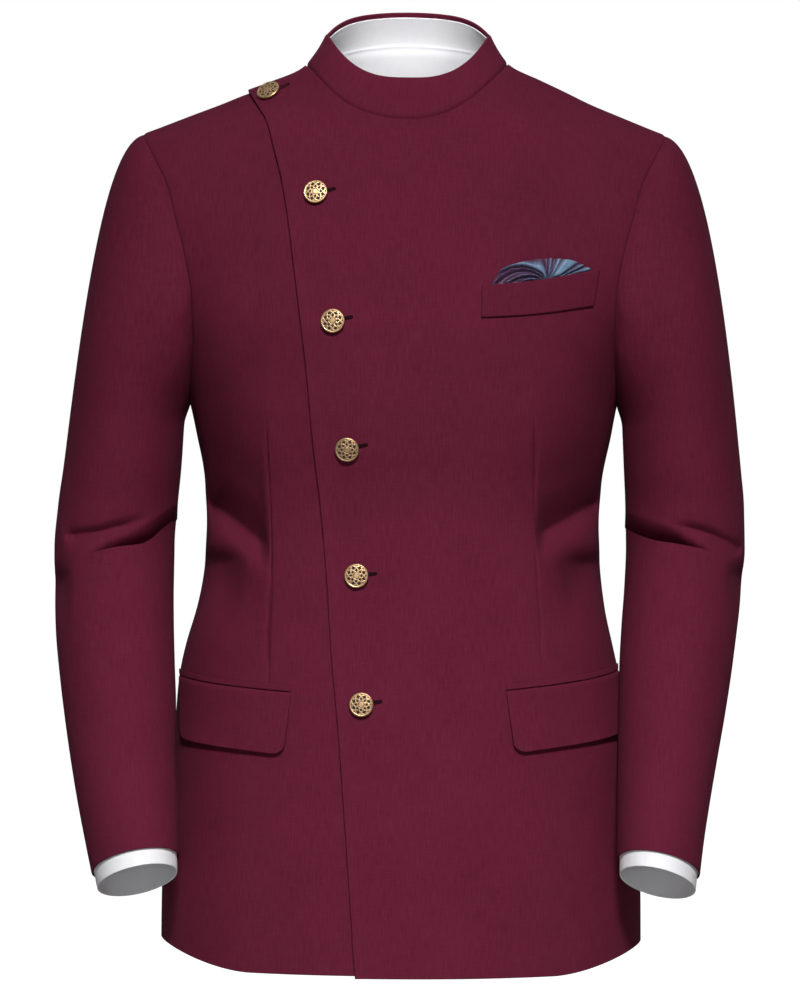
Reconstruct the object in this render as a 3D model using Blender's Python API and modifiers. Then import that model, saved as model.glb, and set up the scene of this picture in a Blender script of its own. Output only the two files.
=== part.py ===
"""A men's bandhgala jacket, filled out as if worn: hollow cloth walls with a stand collar and a cross-over front that
buttons up to the right shoulder. Metres, +Z up, the front faces -Y, and the wearer's left is +X.
The origin lies between the two side neck points, where the wearer's shoulders carry the jacket."""

import math
from bisect import bisect_right
from collections import namedtuple

import bmesh
import bpy
from mathutils import Matrix, Vector

# Cloth and seams
CLOTH = 0.0018
SEAM_GAP = 0.0004
COLLAR_CLOTH = 0.0022
LINING = 0.0010

# Driving sizes of the cut
NECK_HALF = 0.087
NECK_SIDE = 0.0080
NECK_FRONT = -0.0435
NECK_BACK = 0.0220
SHOULDER_HALF = 0.2190
ARMHOLE_BOTTOM = -0.276
HEM_SIDE = -0.7235
HEM_FRONT_DIP = 0.0205
HEM_BACK_DIP = 0.006
COLLAR_TOP_HALF = 0.0690
COLLAR_TOP_SIDE = 0.0330
COLLAR_TOP_FRONT = -0.0072
COLLAR_TOP_BACK = 0.0580
BUTTON_RADIUS = 0.010

# Numbers of mesh steps
SKIRT_ROWS = 12
ARMHOLE_ROWS = 12
NECK_COLUMNS = 6
SHOULDER_COLUMNS = 8
UNDER_COLUMNS = 8
CAP_ROWS = 5

# The body's level sections: half the width, and how far front and back stand from the side plane
Section = namedtuple("Section", "height half_width front back roundness")
BODY_SECTIONS = (
    Section(0.030, 0.0720, 0.050, 0.064, 2.20),
    Section(0.018, 0.0780, 0.056, 0.068, 2.10),
    Section(0.006, 0.0915, 0.062, 0.072, 1.90),
    Section(-0.004, 0.1135, 0.066, 0.076, 1.75),
    Section(-0.014, 0.1350, 0.069, 0.080, 1.68),
    Section(-0.024, 0.1555, 0.072, 0.084, 1.68),
    Section(-0.034, 0.1795, 0.075, 0.087, 1.70),
    Section(-0.044, 0.2040, 0.079, 0.090, 1.75),
    Section(-0.052, 0.2235, 0.082, 0.093, 1.80),
    Section(-0.060, 0.2360, 0.085, 0.096, 1.85),
    Section(-0.072, 0.2455, 0.089, 0.100, 1.90),
    Section(-0.090, 0.2500, 0.095, 0.105, 1.95),
    Section(-0.115, 0.2490, 0.103, 0.111, 1.98),
    Section(-0.150, 0.2400, 0.112, 0.117, 2.02),
    Section(-0.190, 0.2210, 0.120, 0.119, 2.10),
    Section(-0.230, 0.2010, 0.124, 0.116, 2.22),
    Section(-0.276, 0.1820, 0.124, 0.110, 2.35),
    Section(-0.311, 0.173, 0.120, 0.103, 2.38),
    Section(-0.345, 0.1665, 0.115, 0.098, 2.36),
    Section(-0.378, 0.165, 0.113, 0.095, 2.35),
    Section(-0.412, 0.1667, 0.114, 0.096, 2.35),
    Section(-0.446, 0.170, 0.117, 0.101, 2.28),
    Section(-0.480, 0.177, 0.121, 0.108, 2.20),
    Section(-0.513, 0.1845, 0.125, 0.114, 2.12),
    Section(-0.564, 0.192, 0.129, 0.119, 2.08),
    Section(-0.620, 0.1975, 0.132, 0.123, 2.06),
    Section(-0.690, 0.201, 0.134, 0.126, 2.06),
    Section(-0.770, 0.2015, 0.135, 0.127, 2.06),
)

# How far from the centre line the armhole seam runs, on the front and on the back
Armhole = namedtuple("Armhole", "height front back")
ARMHOLE = (
    Armhole(-0.050, 0.2190, 0.2190),
    Armhole(-0.056, 0.2172, 0.2178),
    Armhole(-0.072, 0.2093, 0.2115),
    Armhole(-0.097, 0.1974, 0.2020),
    Armhole(-0.124, 0.1901, 0.1960),
    Armhole(-0.145, 0.1844, 0.1920),
    Armhole(-0.170, 0.1789, 0.1880),
    Armhole(-0.192, 0.1761, 0.1850),
    Armhole(-0.220, 0.1768, 0.1825),
    Armhole(-0.250, 0.1795, 0.1822),
    Armhole(-0.276, 0.1820, 0.1820),
)

# The free edge of the over front, from the right shoulder down to the hem
Edge = namedtuple("Edge", "height x")
OVERLAP_EDGE = (
    Edge(-0.006, -0.1345),
    Edge(-0.023, -0.1255),
    Edge(-0.041, -0.1160),
    Edge(-0.066, -0.1079),
    Edge(-0.095, -0.1003),
    Edge(-0.128, -0.0945),
    Edge(-0.174, -0.0885),
    Edge(-0.235, -0.0805),
    Edge(-0.296, -0.0735),
    Edge(-0.377, -0.0651),
    Edge(-0.479, -0.0564),
    Edge(-0.581, -0.0485),
    Edge(-0.662, -0.0426),
    Edge(-0.745, -0.0370),
)
UNDERLAP = 0.075
LAP_FULL = 0.082
LAP_EASED = 0.160
LAP_LIFT = CLOTH + 0.0012
LAP_EXTRA_LENGTH = 0.002
SHOULDER_LAP_ANGLE = 6.0

# Soft folds of the body: a line across the front, its half width, and how far the cloth moves out
Fold = namedtuple("Fold", "x0 z0 x1 z1 reach out")
BODY_FOLDS = (
    Fold(0.172, -0.345, 0.112, -0.388, 0.026, -0.0045),
    Fold(0.170, -0.385, 0.108, -0.422, 0.018, 0.0030),
    Fold(0.172, -0.425, 0.142, -0.432, 0.016, -0.0042),
    Fold(0.185, -0.230, 0.160, -0.330, 0.024, -0.0035),
)

# Sleeve rings: outer and inner side seen from the front, for each arm, then the ring's place and lean
Ring = namedtuple("Ring", "height right_out right_in left_out left_in forward half_depth tilt lean")
SLEEVE_RINGS = (
    Ring(-0.296, 0.2808, 0.1840, 0.2802, 0.1840, 0.000, 0.0660, 0.0, 0.0),
    Ring(-0.330, 0.2851, 0.1862, 0.2838, 0.1856, -0.002, 0.0640, 0.0, 0.0),
    Ring(-0.362, 0.2896, 0.1892, 0.2867, 0.1870, -0.003, 0.0610, 0.5, 1.0),
    Ring(-0.396, 0.2923, 0.1915, 0.2872, 0.1875, 0.001, 0.0585, 1.5, 5.0),
    Ring(-0.430, 0.2920, 0.1923, 0.2844, 0.1858, 0.010, 0.0560, 2.5, 10.0),
    Ring(-0.464, 0.2895, 0.1915, 0.2792, 0.1828, 0.024, 0.0535, 4.0, 14.0),
    Ring(-0.498, 0.2852, 0.1898, 0.2738, 0.1804, 0.039, 0.0515, 5.0, 17.0),
    Ring(-0.532, 0.2800, 0.1881, 0.2676, 0.1792, 0.053, 0.0492, 6.0, 18.5),
    Ring(-0.566, 0.2741, 0.1864, 0.2608, 0.1782, 0.066, 0.0472, 7.5, 19.0),
    Ring(-0.600, 0.2675, 0.1844, 0.2543, 0.1773, 0.078, 0.0455, 9.0, 19.5),
    Ring(-0.634, 0.2600, 0.1822, 0.2486, 0.1764, 0.089, 0.0440, 10.5, 20.0),
    Ring(-0.672, 0.2515, 0.1804, 0.2440, 0.1758, 0.100, 0.0425, 12.5, 20.5),
    Ring(-0.690, 0.2480, 0.1800, 0.2425, 0.1756, 0.105, 0.0420, 13.0, 20.5),
)
SLEEVE_REST = 0.0050
UPPER_ARM = -0.296
SLEEVE_HEM = -0.6570
SLEEVE_LEVELS = (
    -0.6570, -0.630, -0.602, -0.573, -0.544, -0.514, -0.486, -0.460, -0.438,
    -0.420, -0.406, -0.394, -0.382, -0.368, -0.346, -0.321, -0.296,
)
FRONT_SEAM_COLUMN = 9
BACK_SEAM_COLUMN = 17

# Elbow creases in the sleeve's own plane: degrees round from the outer side, and height
Crease = namedtuple("Crease", "turn0 z0 turn1 z1 reach out")
ELBOW_CREASES = (
    Crease(195.0, -0.384, 70.0, -0.412, 0.0085, -0.0055),
    Crease(100.0, -0.374, 35.0, -0.393, 0.0095, -0.0032),
    Crease(175.0, -0.398, 80.0, -0.425, 0.0120, 0.0022),
    Crease(30.0, -0.424, 8.0, -0.452, 0.0120, -0.0040),
    Crease(330.0, -0.398, 290.0, -0.408, 0.0140, -0.0030),
)

# White lining where it shows at the cuff
CUFF_SHOWS = 0.0125
CUFF_INSIDE = 0.060

# Pockets: end points along the front, and the upper edge's heights there
HipPocket = namedtuple("HipPocket", "arm word front_x front_z side_z")
HIP_POCKETS = (
    HipPocket(-1, "right", 0.0888, -0.5146, -0.5040),
    HipPocket(1, "left", 0.0843, -0.5125, -0.4980),
)
HIP_POCKET_SIDE_TURN = 81.0
HIP_POCKET_LENGTH = 0.143
FLAP_CLOTH = 0.0014
FLAP_DEPTH = 0.0510
FLAP_SLANT = 0.0055
FLAP_CORNER = 0.0130
JETTING_DEPTH = 0.0046
WELT_INNER_X = 0.0630
WELT_OUTER_X = 0.1590
WELT_INNER_Z = -0.1825
WELT_OUTER_Z = -0.1668
WELT_INNER_DEPTH = 0.0255
WELT_OUTER_DEPTH = 0.0300
WELT_OUTER_SLANT = 0.0036
SQUARE_INNER_X = 0.0690
SQUARE_OUTER_X = 0.1520
SQUARE_RISE = 0.0205
SQUARE_TUCK = 0.0140
SQUARE_FOLDS = 7

# Buttons, by their place on the over front
BUTTON_STEPS = 20
BUTTON_PROFILE = (
    (0.0, 0.42), (0.60, 0.40), (0.93, 0.32), (1.0, 0.22), (0.94, 0.13), (0.30, 0.11), (0.30, 0.0), (0.0, 0.0),
)
ButtonPlace = namedtuple("ButtonPlace", "x height droop")
BUTTON_PLACES = (
    ButtonPlace(-0.1140, -0.0165, 0.45),
    ButtonPlace(-0.0720, -0.1066, 0.0),
    ButtonPlace(-0.0571, -0.2121, 0.0),
    ButtonPlace(-0.0447, -0.3154, 0.0),
    ButtonPlace(-0.0371, -0.4194, 0.0),
    ButtonPlace(-0.0324, -0.5240, 0.0),
)

FRONT = -1
BACK = 1
LEFT = 1
RIGHT = -1

WINE_CLOTH = (0.105, 0.012, 0.030, 1.0)
WHITE_LINING = (0.78, 0.78, 0.80, 1.0)
ANTIQUE_GOLD = (0.80, 0.55, 0.24, 1.0)
BLUE_SILK = (0.10, 0.16, 0.26, 1.0)


def clear_scene():
    for obj in list(bpy.data.objects):
        bpy.data.objects.remove(obj, do_unlink=True)


def make_material(name, colour, roughness, metallic=0.0):
    material = bpy.data.materials.new(name)
    material.use_nodes = True
    shader = material.node_tree.nodes["Principled BSDF"]
    shader.inputs["Base Color"].default_value = colour
    shader.inputs["Roughness"].default_value = roughness
    shader.inputs["Metallic"].default_value = metallic
    return material


def smooth_step(value):
    """0 below 0, 1 above 1, and an even S curve between."""
    t = min(1.0, max(0.0, value))
    return t * t * (3.0 - 2.0 * t)


CURVES = {}


def curve_of(rows, column):
    """Heights, values and slopes of one table column, with slopes that never overshoot the rows."""
    key = (id(rows), column)
    if key in CURVES:
        return CURVES[key]
    heights = [row.height for row in rows][::-1]
    values = [getattr(row, column) for row in rows][::-1]
    steps = [b - a for a, b in zip(heights, heights[1:])]
    grades = [(b - a) / s for a, b, s in zip(values, values[1:], steps)]
    slopes = [grades[0]]
    for (before, after), (h0, h1) in zip(zip(grades, grades[1:]), zip(steps, steps[1:])):
        if before * after <= 0.0:
            slopes.append(0.0)
        else:
            w0, w1 = 2 * h1 + h0, h1 + 2 * h0
            slopes.append((w0 + w1) / (w0 / before + w1 / after))
    slopes.append(grades[-1])
    CURVES[key] = (heights, values, slopes)
    return CURVES[key]


def read(rows, column, height):
    """One column of a table at any height, on a smooth curve through its rows."""
    heights, values, slopes = curve_of(rows, column)
    if height <= heights[0]:
        return values[0]
    if height >= heights[-1]:
        return values[-1]
    i = bisect_right(heights, height) - 1
    step = heights[i + 1] - heights[i]
    t = (height - heights[i]) / step
    return (
        values[i] * (1 + 2 * t) * (1 - t) ** 2
        + slopes[i] * step * t * (1 - t) ** 2
        + values[i + 1] * t * t * (3 - 2 * t)
        + slopes[i + 1] * step * t * t * (t - 1)
    )


def half_width(z):
    return read(BODY_SECTIONS, "half_width", z)


def depth_at(z, side):
    return read(BODY_SECTIONS, "front" if side == FRONT else "back", z)


def body_y(x, z, side):
    """How far front or back the body's level section lies at x."""
    power = read(BODY_SECTIONS, "roundness", z)
    share = min(1.0, abs(x) / half_width(z))
    return side * depth_at(z, side) * (1.0 - share**power) ** (1.0 / power)


def body_normal(x, y, z, side):
    """The outward direction of the body's surface, from how its section function changes."""
    power = read(BODY_SECTIONS, "roundness", z)
    width, depth = half_width(z), depth_at(z, side)

    def level(height):
        exponent = read(BODY_SECTIONS, "roundness", height)
        return (abs(x) / half_width(height)) ** exponent + (abs(y) / depth_at(height, side)) ** exponent

    step = 0.001
    grade_x = power * (abs(x) / width) ** (power - 1) / width
    grade_y = power * (abs(y) / depth) ** (power - 1) / depth
    grade_z = (level(z + step) - level(z - step)) / (2 * step)
    return Vector((math.copysign(grade_x, x), math.copysign(grade_y, y), grade_z)).normalized()


def shoulder_height(x):
    """Height of the shoulder line at this distance from the centre, found by halving."""
    low, high = BODY_SECTIONS[8].height, NECK_SIDE + 0.010
    for _ in range(40):
        middle = (low + high) / 2
        if half_width(middle) > abs(x):
            low = middle
        else:
            high = middle
    return (low + high) / 2


def top_height(x, side):
    """Height of the body's upper seam: the neckline near the centre, and the shoulder line past it."""
    share = abs(x) / NECK_HALF
    if share >= 1.0:
        return shoulder_height(x)
    side_point = shoulder_height(NECK_HALF)
    if side == FRONT:
        return NECK_FRONT + (side_point - NECK_FRONT) * share**2.2
    return NECK_BACK + (side_point - NECK_BACK) * share**2


def hem_height(turn, side):
    """Height of the hem at a turn from the centre line, in degrees; the front dips with rounded ends."""
    across = abs(math.sin(math.radians(turn)))
    if side == BACK:
        return HEM_SIDE - HEM_BACK_DIP * (1.0 - across**2)
    rise = max(0.0, (across - 0.62) / 0.38) ** 1.7
    return HEM_SIDE - HEM_FRONT_DIP * (1.0 - rise)


def fold_offset(x, z):
    """How far the soft folds move the front at this place."""
    total = 0.0
    for fold in BODY_FOLDS:
        dx, dz = fold.x1 - fold.x0, fold.z1 - fold.z0
        length = math.hypot(dx, dz)
        along = ((abs(x) - fold.x0) * dx + (z - fold.z0) * dz) / length
        across = ((abs(x) - fold.x0) * dz - (z - fold.z0) * dx) / length
        share = along / length
        ends = smooth_step((share + 0.35) / 0.35) * smooth_step((1.25 - share) / 0.45)
        total += fold.out * ends * math.exp(-((across / fold.reach) ** 2))
    return total


def upper_place(turn, psi, side):
    """x and z on the body above the armhole's lowest point. psi runs from 180 there to 0 at the upper seam."""
    climb = (1.0 + math.cos(math.radians(psi))) / 2
    tip = shoulder_height(SHOULDER_HALF)
    edge_z = ARMHOLE_BOTTOM + (tip - ARMHOLE_BOTTOM) * climb
    edge_x = read(ARMHOLE, "front" if side == FRONT else "back", edge_z)
    across = math.sin(math.radians(turn))
    z_top = top_height(SHOULDER_HALF * across, side)
    return edge_x * across, ARMHOLE_BOTTOM + (z_top - ARMHOLE_BOTTOM) * climb


def lower_place(turn, share, side, extra=0.0):
    """x and z on the body below the armhole, for a share of the way from the hem up."""
    hem = hem_height(turn, side) - extra
    z = hem + (ARMHOLE_BOTTOM - hem) * share
    return half_width(z) * math.sin(math.radians(turn)), z


def body_place(turn, row, side, extra=0.0):
    """x and z for one mesh row, counted from the hem up."""
    if row <= SKIRT_ROWS:
        return lower_place(turn, row / SKIRT_ROWS, side, extra)
    return upper_place(turn, 180.0 - 180.0 * (row - SKIRT_ROWS) / ARMHOLE_ROWS, side)


def body_point(x, z, side, lift=0.0):
    """A point of the body's outer face, its folds included, moved out by lift, and its outward direction."""
    y = body_y(x, z, side)
    normal = body_normal(x, y, z, side)
    folds = fold_offset(x, z)
    if side == BACK:
        folds *= smooth_step(1.0 - y / 0.060)
    return Vector((x, y, z)) + normal * (lift + folds), normal


def overlap_x(z):
    return read(OVERLAP_EDGE, "x", z)


def lap_lift(x, z):
    """The over front lies on the under front near its edge, and eases down to the body past it."""
    return LAP_LIFT * (1.0 - smooth_step((x - overlap_x(z) - LAP_FULL) / (LAP_EASED - LAP_FULL)))


def turn_for(x_of_height, row, side, extra=0.0):
    """The turn at which a mesh row meets a line given as x for each height."""
    turn = -20.0
    for _ in range(12):
        x, z = body_place(turn, row, side, extra)
        reach = x / math.sin(math.radians(turn)) if abs(turn) > 1e-6 else half_width(z)
        turn = math.degrees(math.asin(max(-1.0, min(1.0, x_of_height(z) / reach))))
        if abs(turn) < 1e-6:
            turn = 1e-6
    return turn


def neck_turn():
    """The turn whose column ends at the side neck point."""
    return math.degrees(math.asin(NECK_HALF / SHOULDER_HALF))


def even_steps(first, last, count):
    return [first + (last - first) * i / count for i in range(count + 1)]


def neck_turns():
    """Turns of the columns that end on the neckline, closer together where it rounds to the side neck point."""
    turns = []
    for share in even_steps(0.0, 1.0, NECK_COLUMNS):
        across = (share + math.sin(share * math.pi / 2)) / 2
        turns.append(math.degrees(math.asin(NECK_HALF * across / SHOULDER_HALF)))
    return turns


def side_turns():
    """Turns of the columns from the centre line to the side seam, with one on the side neck point."""
    return neck_turns() + even_steps(neck_turn(), 90.0, SHOULDER_COLUMNS)[1:]


def trimmed(points, gap):
    """A grid of points drawn in by half the seam gap along its four sides."""
    rows, columns = len(points), len(points[0])
    moved = [[p.copy() for p in row] for row in points]
    for i in range(rows):
        for j, inner in ((0, 1), (columns - 1, columns - 2)):
            moved[i][j] += (points[i][inner] - points[i][j]).normalized() * (gap / 2)
    for j in range(columns):
        for i, inner in ((0, 1), (rows - 1, rows - 2)):
            moved[i][j] += (points[inner][j] - points[i][j]).normalized() * (gap / 2)
    return moved


def cloth_wall(name, outer, normals, thickness, material, collection, closed=False):
    """A cloth wall between a grid of outer points and the same grid moved in by the cloth's thickness.
    Both faces of the wall split each cell along the same, shorter diagonal."""
    inner = [[p - n * thickness for p, n in zip(prow, nrow)] for prow, nrow in zip(outer, normals)]
    rows, columns = len(outer), len(outer[0])
    mesh = bpy.data.meshes.new(name)
    bm = bmesh.new()
    faces_out = [[bm.verts.new(p) for p in row] for row in outer]
    faces_in = [[bm.verts.new(p) for p in row] for row in inner]
    spans = range(columns) if closed else range(columns - 1)
    for i in range(rows - 1):
        for j in spans:
            k = (j + 1) % columns
            rising = (outer[i][j] - outer[i + 1][k]).length <= (outer[i][k] - outer[i + 1][j]).length
            for grid in (faces_out, faces_in):
                a, b, c, d = grid[i][j], grid[i][k], grid[i + 1][k], grid[i + 1][j]
                for corners in ((a, b, c), (a, c, d)) if rising else ((a, b, d), (b, c, d)):
                    bm.faces.new(corners)
    for j in spans:
        k = (j + 1) % columns
        bm.faces.new((faces_out[0][j], faces_in[0][j], faces_in[0][k], faces_out[0][k]))
        bm.faces.new((faces_out[-1][j], faces_out[-1][k], faces_in[-1][k], faces_in[-1][j]))
    if not closed:
        for i in range(rows - 1):
            bm.faces.new((faces_out[i][0], faces_out[i + 1][0], faces_in[i + 1][0], faces_in[i][0]))
            bm.faces.new((faces_out[i][-1], faces_in[i][-1], faces_in[i + 1][-1], faces_out[i + 1][-1]))
    bmesh.ops.recalc_face_normals(bm, faces=bm.faces)
    bm.to_mesh(mesh)
    bm.free()
    mesh.shade_smooth()
    mesh.set_sharp_from_angle(angle=math.radians(35))
    mesh.materials.append(material)
    obj = bpy.data.objects.new(name, mesh)
    collection.objects.link(obj)
    return obj


def grid_of(place, rows, columns):
    """Two grids, points and normals, from a function of row and column."""
    pairs = [[place(i, j) for j in range(columns)] for i in range(rows)]
    return [[p for p, _n in row] for row in pairs], [[n for _p, n in row] for row in pairs]


def make_back(name, sign, material, collection):
    """Half of the back, from the centre seam to the side seam and armhole."""
    turns = side_turns()

    def place(i, j):
        x, z = body_place(sign * turns[j], i, BACK)
        return body_point(x, z, BACK)

    points, normals = grid_of(place, SKIRT_ROWS + ARMHOLE_ROWS + 1, len(turns))
    return cloth_wall(name, trimmed(points, SEAM_GAP), normals, CLOTH, material, collection)


def over_front_turns(row):
    """Column turns of one row of the over front, from its free edge to the left side seam."""
    edge = turn_for(overlap_x, row, FRONT, LAP_EXTRA_LENGTH)
    top_edge = turn_for(overlap_x, SKIRT_ROWS + ARMHOLE_ROWS, FRONT, LAP_EXTRA_LENGTH)
    shares = [-turn / top_edge for turn in reversed(neck_turns()[1:])]
    shares = [1.0, (1.0 + shares[0]) / 2] + shares
    return [edge * share for share in shares] + side_turns()


def make_under_front(material, collection):
    """The wearer's right front, which runs on under the over front."""

    def place(i, j):
        over = over_front_turns(i)
        if j <= UNDER_COLUMNS:
            turn = -90.0 + (over[0] + 90.0) * j / UNDER_COLUMNS
        elif j < UNDER_COLUMNS + 3:
            turn = over[j - UNDER_COLUMNS]
        else:
            turn = turn_for(lambda z: overlap_x(z) + UNDERLAP, i, FRONT)
        x, z = body_place(turn, i, FRONT)
        return body_point(x, z, FRONT)

    points, normals = grid_of(place, SKIRT_ROWS + ARMHOLE_ROWS + 1, UNDER_COLUMNS + 4)
    return cloth_wall("front_right", trimmed(points, SEAM_GAP), normals, CLOTH, material, collection)


def over_front_place(i, j):
    """A point of the over front. Past the neck its last two rows pass over the right shoulder line."""
    top = SKIRT_ROWS + ARMHOLE_ROWS
    turn = over_front_turns(min(i, top))[j]
    if i < top:
        x, z = body_place(turn, i, FRONT, LAP_EXTRA_LENGTH)
        return body_point(x, z, FRONT, lap_lift(x, z))
    turn = over_front_turns(top)[j]
    past = smooth_step((-turn - neck_turn()) / 5.0)
    psi = SHOULDER_LAP_ANGLE * (1 - past if i == top else -past)
    side = FRONT if psi >= 0.0 else BACK
    x, z = upper_place(turn, psi, FRONT)
    return body_point(x, z, side, lap_lift(x, z))


def make_over_front(material, collection):
    """The wearer's left front, which crosses the chest and buttons up to the right shoulder."""
    columns = len(over_front_turns(0))
    points, normals = grid_of(over_front_place, SKIRT_ROWS + ARMHOLE_ROWS + 2, columns)
    return cloth_wall("front_left", trimmed(points, SEAM_GAP), normals, CLOTH, material, collection)


def clear_of_body(point):
    """Sleeve cloth that would pass through the body's side rests just off it instead."""
    side = FRONT if point.y < 0 else BACK
    power = read(BODY_SECTIONS, "roundness", point.z)
    level = (abs(point.x) / half_width(point.z)) ** power + (abs(point.y) / depth_at(point.z, side)) ** power
    reach = math.hypot(point.x, point.y)
    needed = reach / level ** (1.0 / power) + SLEEVE_REST
    if reach >= needed:
        return point
    return Vector((point.x * needed / reach, point.y * needed / reach, point.z))


def arm_column(arm, edge):
    return ("right_" if arm == RIGHT else "left_") + edge


def sleeve_ring_point(arm, z, turn):
    """A point of the sleeve's ring at this height. Turn is 0 at the outer side and 90 at the front."""
    outer = read(SLEEVE_RINGS, arm_column(arm, "out"), z)
    inner = read(SLEEVE_RINGS, arm_column(arm, "in"), z)
    tilt = math.radians(read(SLEEVE_RINGS, "tilt", z))
    lean = math.radians(read(SLEEVE_RINGS, "lean", z))
    centre = Vector((arm * (outer + inner) / 2, -read(SLEEVE_RINGS, "forward", z), z))
    outward = Vector((arm * math.cos(tilt), 0.0, -math.sin(tilt)))
    forward = Vector((0.0, -math.cos(lean), math.sin(lean)))
    across = (outer - inner) / 2 * math.cos(math.radians(turn))
    through = read(SLEEVE_RINGS, "half_depth", z) * math.sin(math.radians(turn))
    return clear_of_body(centre + outward * across + forward * through)


def armhole_point(arm, column):
    """A point of the armhole seam: columns run from the shoulder down the front and up the back."""
    side = FRONT if column <= ARMHOLE_ROWS else BACK
    step = 180.0 / ARMHOLE_ROWS
    psi = column * step if side == FRONT else 360.0 - column * step
    x, z = upper_place(arm * 90.0, psi, side)
    point, normal = body_point(x, z, side)
    return point, normal


def cap_point(arm, column, share):
    """The sleeve head, from the upper arm's ring at share 0 up to the armhole at share 1."""
    turn = column * 180.0 / ARMHOLE_ROWS
    start = sleeve_ring_point(arm, UPPER_ARM, turn)
    below = sleeve_ring_point(arm, UPPER_ARM - 0.010, turn)
    seam, seam_normal = armhole_point(arm, column)
    cosine, sine = math.cos(math.radians(turn)), math.sin(math.radians(turn))
    away = Vector((arm * (0.575 + 0.425 * cosine), -0.55 * sine, -(0.60 - 0.40 * cosine))).normalized()
    end = seam + (away + seam_normal).normalized() * (SEAM_GAP * 1.2)
    reach = (end - start).length
    rise = (start - below).normalized() * reach * (0.52 + 0.17 * cosine)
    swell = away * min(0.024, 0.30 * reach)
    t = share
    return (
        start * (1 - t) ** 3
        + (start + rise) * 3 * t * (1 - t) ** 2
        + (end + swell) * 3 * t * t * (1 - t)
        + end * t**3
    )


def crease_offset(z, turn):
    """How far the elbow's creases move the sleeve's wall."""
    radius = 0.052
    total = 0.0
    for crease in ELBOW_CREASES:
        dx, dz = math.radians(crease.turn1 - crease.turn0) * radius, crease.z1 - crease.z0
        length = math.hypot(dx, dz)
        px, pz = math.radians(turn - crease.turn0) * radius, z - crease.z0
        along, across = (px * dx + pz * dz) / length, (px * dz - pz * dx) / length
        share = along / length
        ends = smooth_step((share + 0.15) / 0.35) * smooth_step((1.15 - share) / 0.40)
        total += crease.out * ends * math.exp(-((across / crease.reach) ** 2))
    return total


def sleeve_grid(arm):
    """The whole sleeve's points and normals, row by row from the hem up to the armhole."""
    columns = 2 * ARMHOLE_ROWS
    step = 360.0 / columns
    rows = [[sleeve_ring_point(arm, z, j * step) for j in range(columns)] for z in SLEEVE_LEVELS]
    rows += [[cap_point(arm, j, i / CAP_ROWS) for j in range(columns)] for i in range(1, CAP_ROWS + 1)]
    normals = grid_normals(rows, arm)
    for i, z in enumerate(SLEEVE_LEVELS):
        for j in range(columns):
            rows[i][j] = rows[i][j] + normals[i][j] * crease_offset(z, j * step)
    return rows, normals


def grid_normals(rows, arm):
    """Outward directions of a tube's points, from the points beside, above and below each."""
    last, columns = len(rows) - 1, len(rows[0])
    normals = []
    for i in range(last + 1):
        line = []
        for j in range(columns):
            around = rows[i][(j + 1) % columns] - rows[i][j - 1]
            upward = rows[min(i + 1, last)][j] - rows[max(i - 1, 0)][j]
            line.append(around.cross(upward).normalized() * -arm)
        normals.append(line)
    return normals


def make_sleeve(arm, word, material, collection):
    """Upper and under sleeve, sewn together along the front and the back seam."""
    rows, normals = sleeve_grid(arm)
    count = len(rows[0])
    under = list(range(FRONT_SEAM_COLUMN, BACK_SEAM_COLUMN + 1))
    upper = [j % count for j in range(BACK_SEAM_COLUMN, count + FRONT_SEAM_COLUMN + 1)]
    for piece, picked in (("upper", upper), ("under", under)):
        points = [[row[j] for j in picked] for row in rows]
        outward = [[row[j] for j in picked] for row in normals]
        name = f"sleeve_{piece}_{word}"
        cloth_wall(name, trimmed(points, SEAM_GAP), outward, CLOTH, material, collection)


def make_cuff_lining(arm, word, material, collection):
    """The white lining of one cuff: a tube inside the sleeve that shows below its hem."""
    columns = 2 * ARMHOLE_ROWS
    step = 360.0 / columns
    low, high = SLEEVE_HEM - CUFF_SHOWS, SLEEVE_HEM + CUFF_INSIDE
    levels = even_steps(low, high, 2)
    rows = [[sleeve_ring_point(arm, z, j * step) for j in range(columns)] for z in levels]
    normals = grid_normals(rows, arm)
    inset = CLOTH + SEAM_GAP
    points = [[p - n * inset for p, n in zip(prow, nrow)] for prow, nrow in zip(rows, normals)]
    cloth_wall(f"cuff_lining_{word}", points, normals, LINING, material, collection, closed=True)


def neckline():
    """Points and directions round the neckline, from the right shoulder across the front and round the back."""
    top = SKIRT_ROWS + ARMHOLE_ROWS
    front_turns = over_front_turns(top)
    first = next(j for j, turn in enumerate(front_turns) if abs(turn + neck_turn()) < 1e-3)
    last = len(front_turns) - 1 - SHOULDER_COLUMNS
    loop = []
    for j in range(first, last + 1):
        x, z = body_place(front_turns[j], top, FRONT)
        loop.append(body_point(x, z, FRONT, lap_lift(x, z)))
    back_turns = side_turns()[: NECK_COLUMNS + 1]
    round_back = [t for t in reversed(back_turns)][1:] + [-t for t in back_turns[1:]]
    for turn in round_back:
        x, z = body_place(turn, top, BACK)
        loop.append(body_point(x, z, BACK))
    return loop


def collar_top(base):
    """The collar's upper edge above one point of the neckline."""
    across = min(1.0, abs(base.x) / NECK_HALF)
    scale = COLLAR_TOP_HALF / NECK_HALF
    if base.y < 0:
        height = COLLAR_TOP_FRONT + (COLLAR_TOP_SIDE - COLLAR_TOP_FRONT) * across**2.9
        return Vector((base.x * scale, base.y * 0.79, height))
    height = COLLAR_TOP_BACK + (COLLAR_TOP_SIDE - COLLAR_TOP_BACK) * across**3.5
    return Vector((base.x * scale, base.y * 0.84, height))


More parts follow.
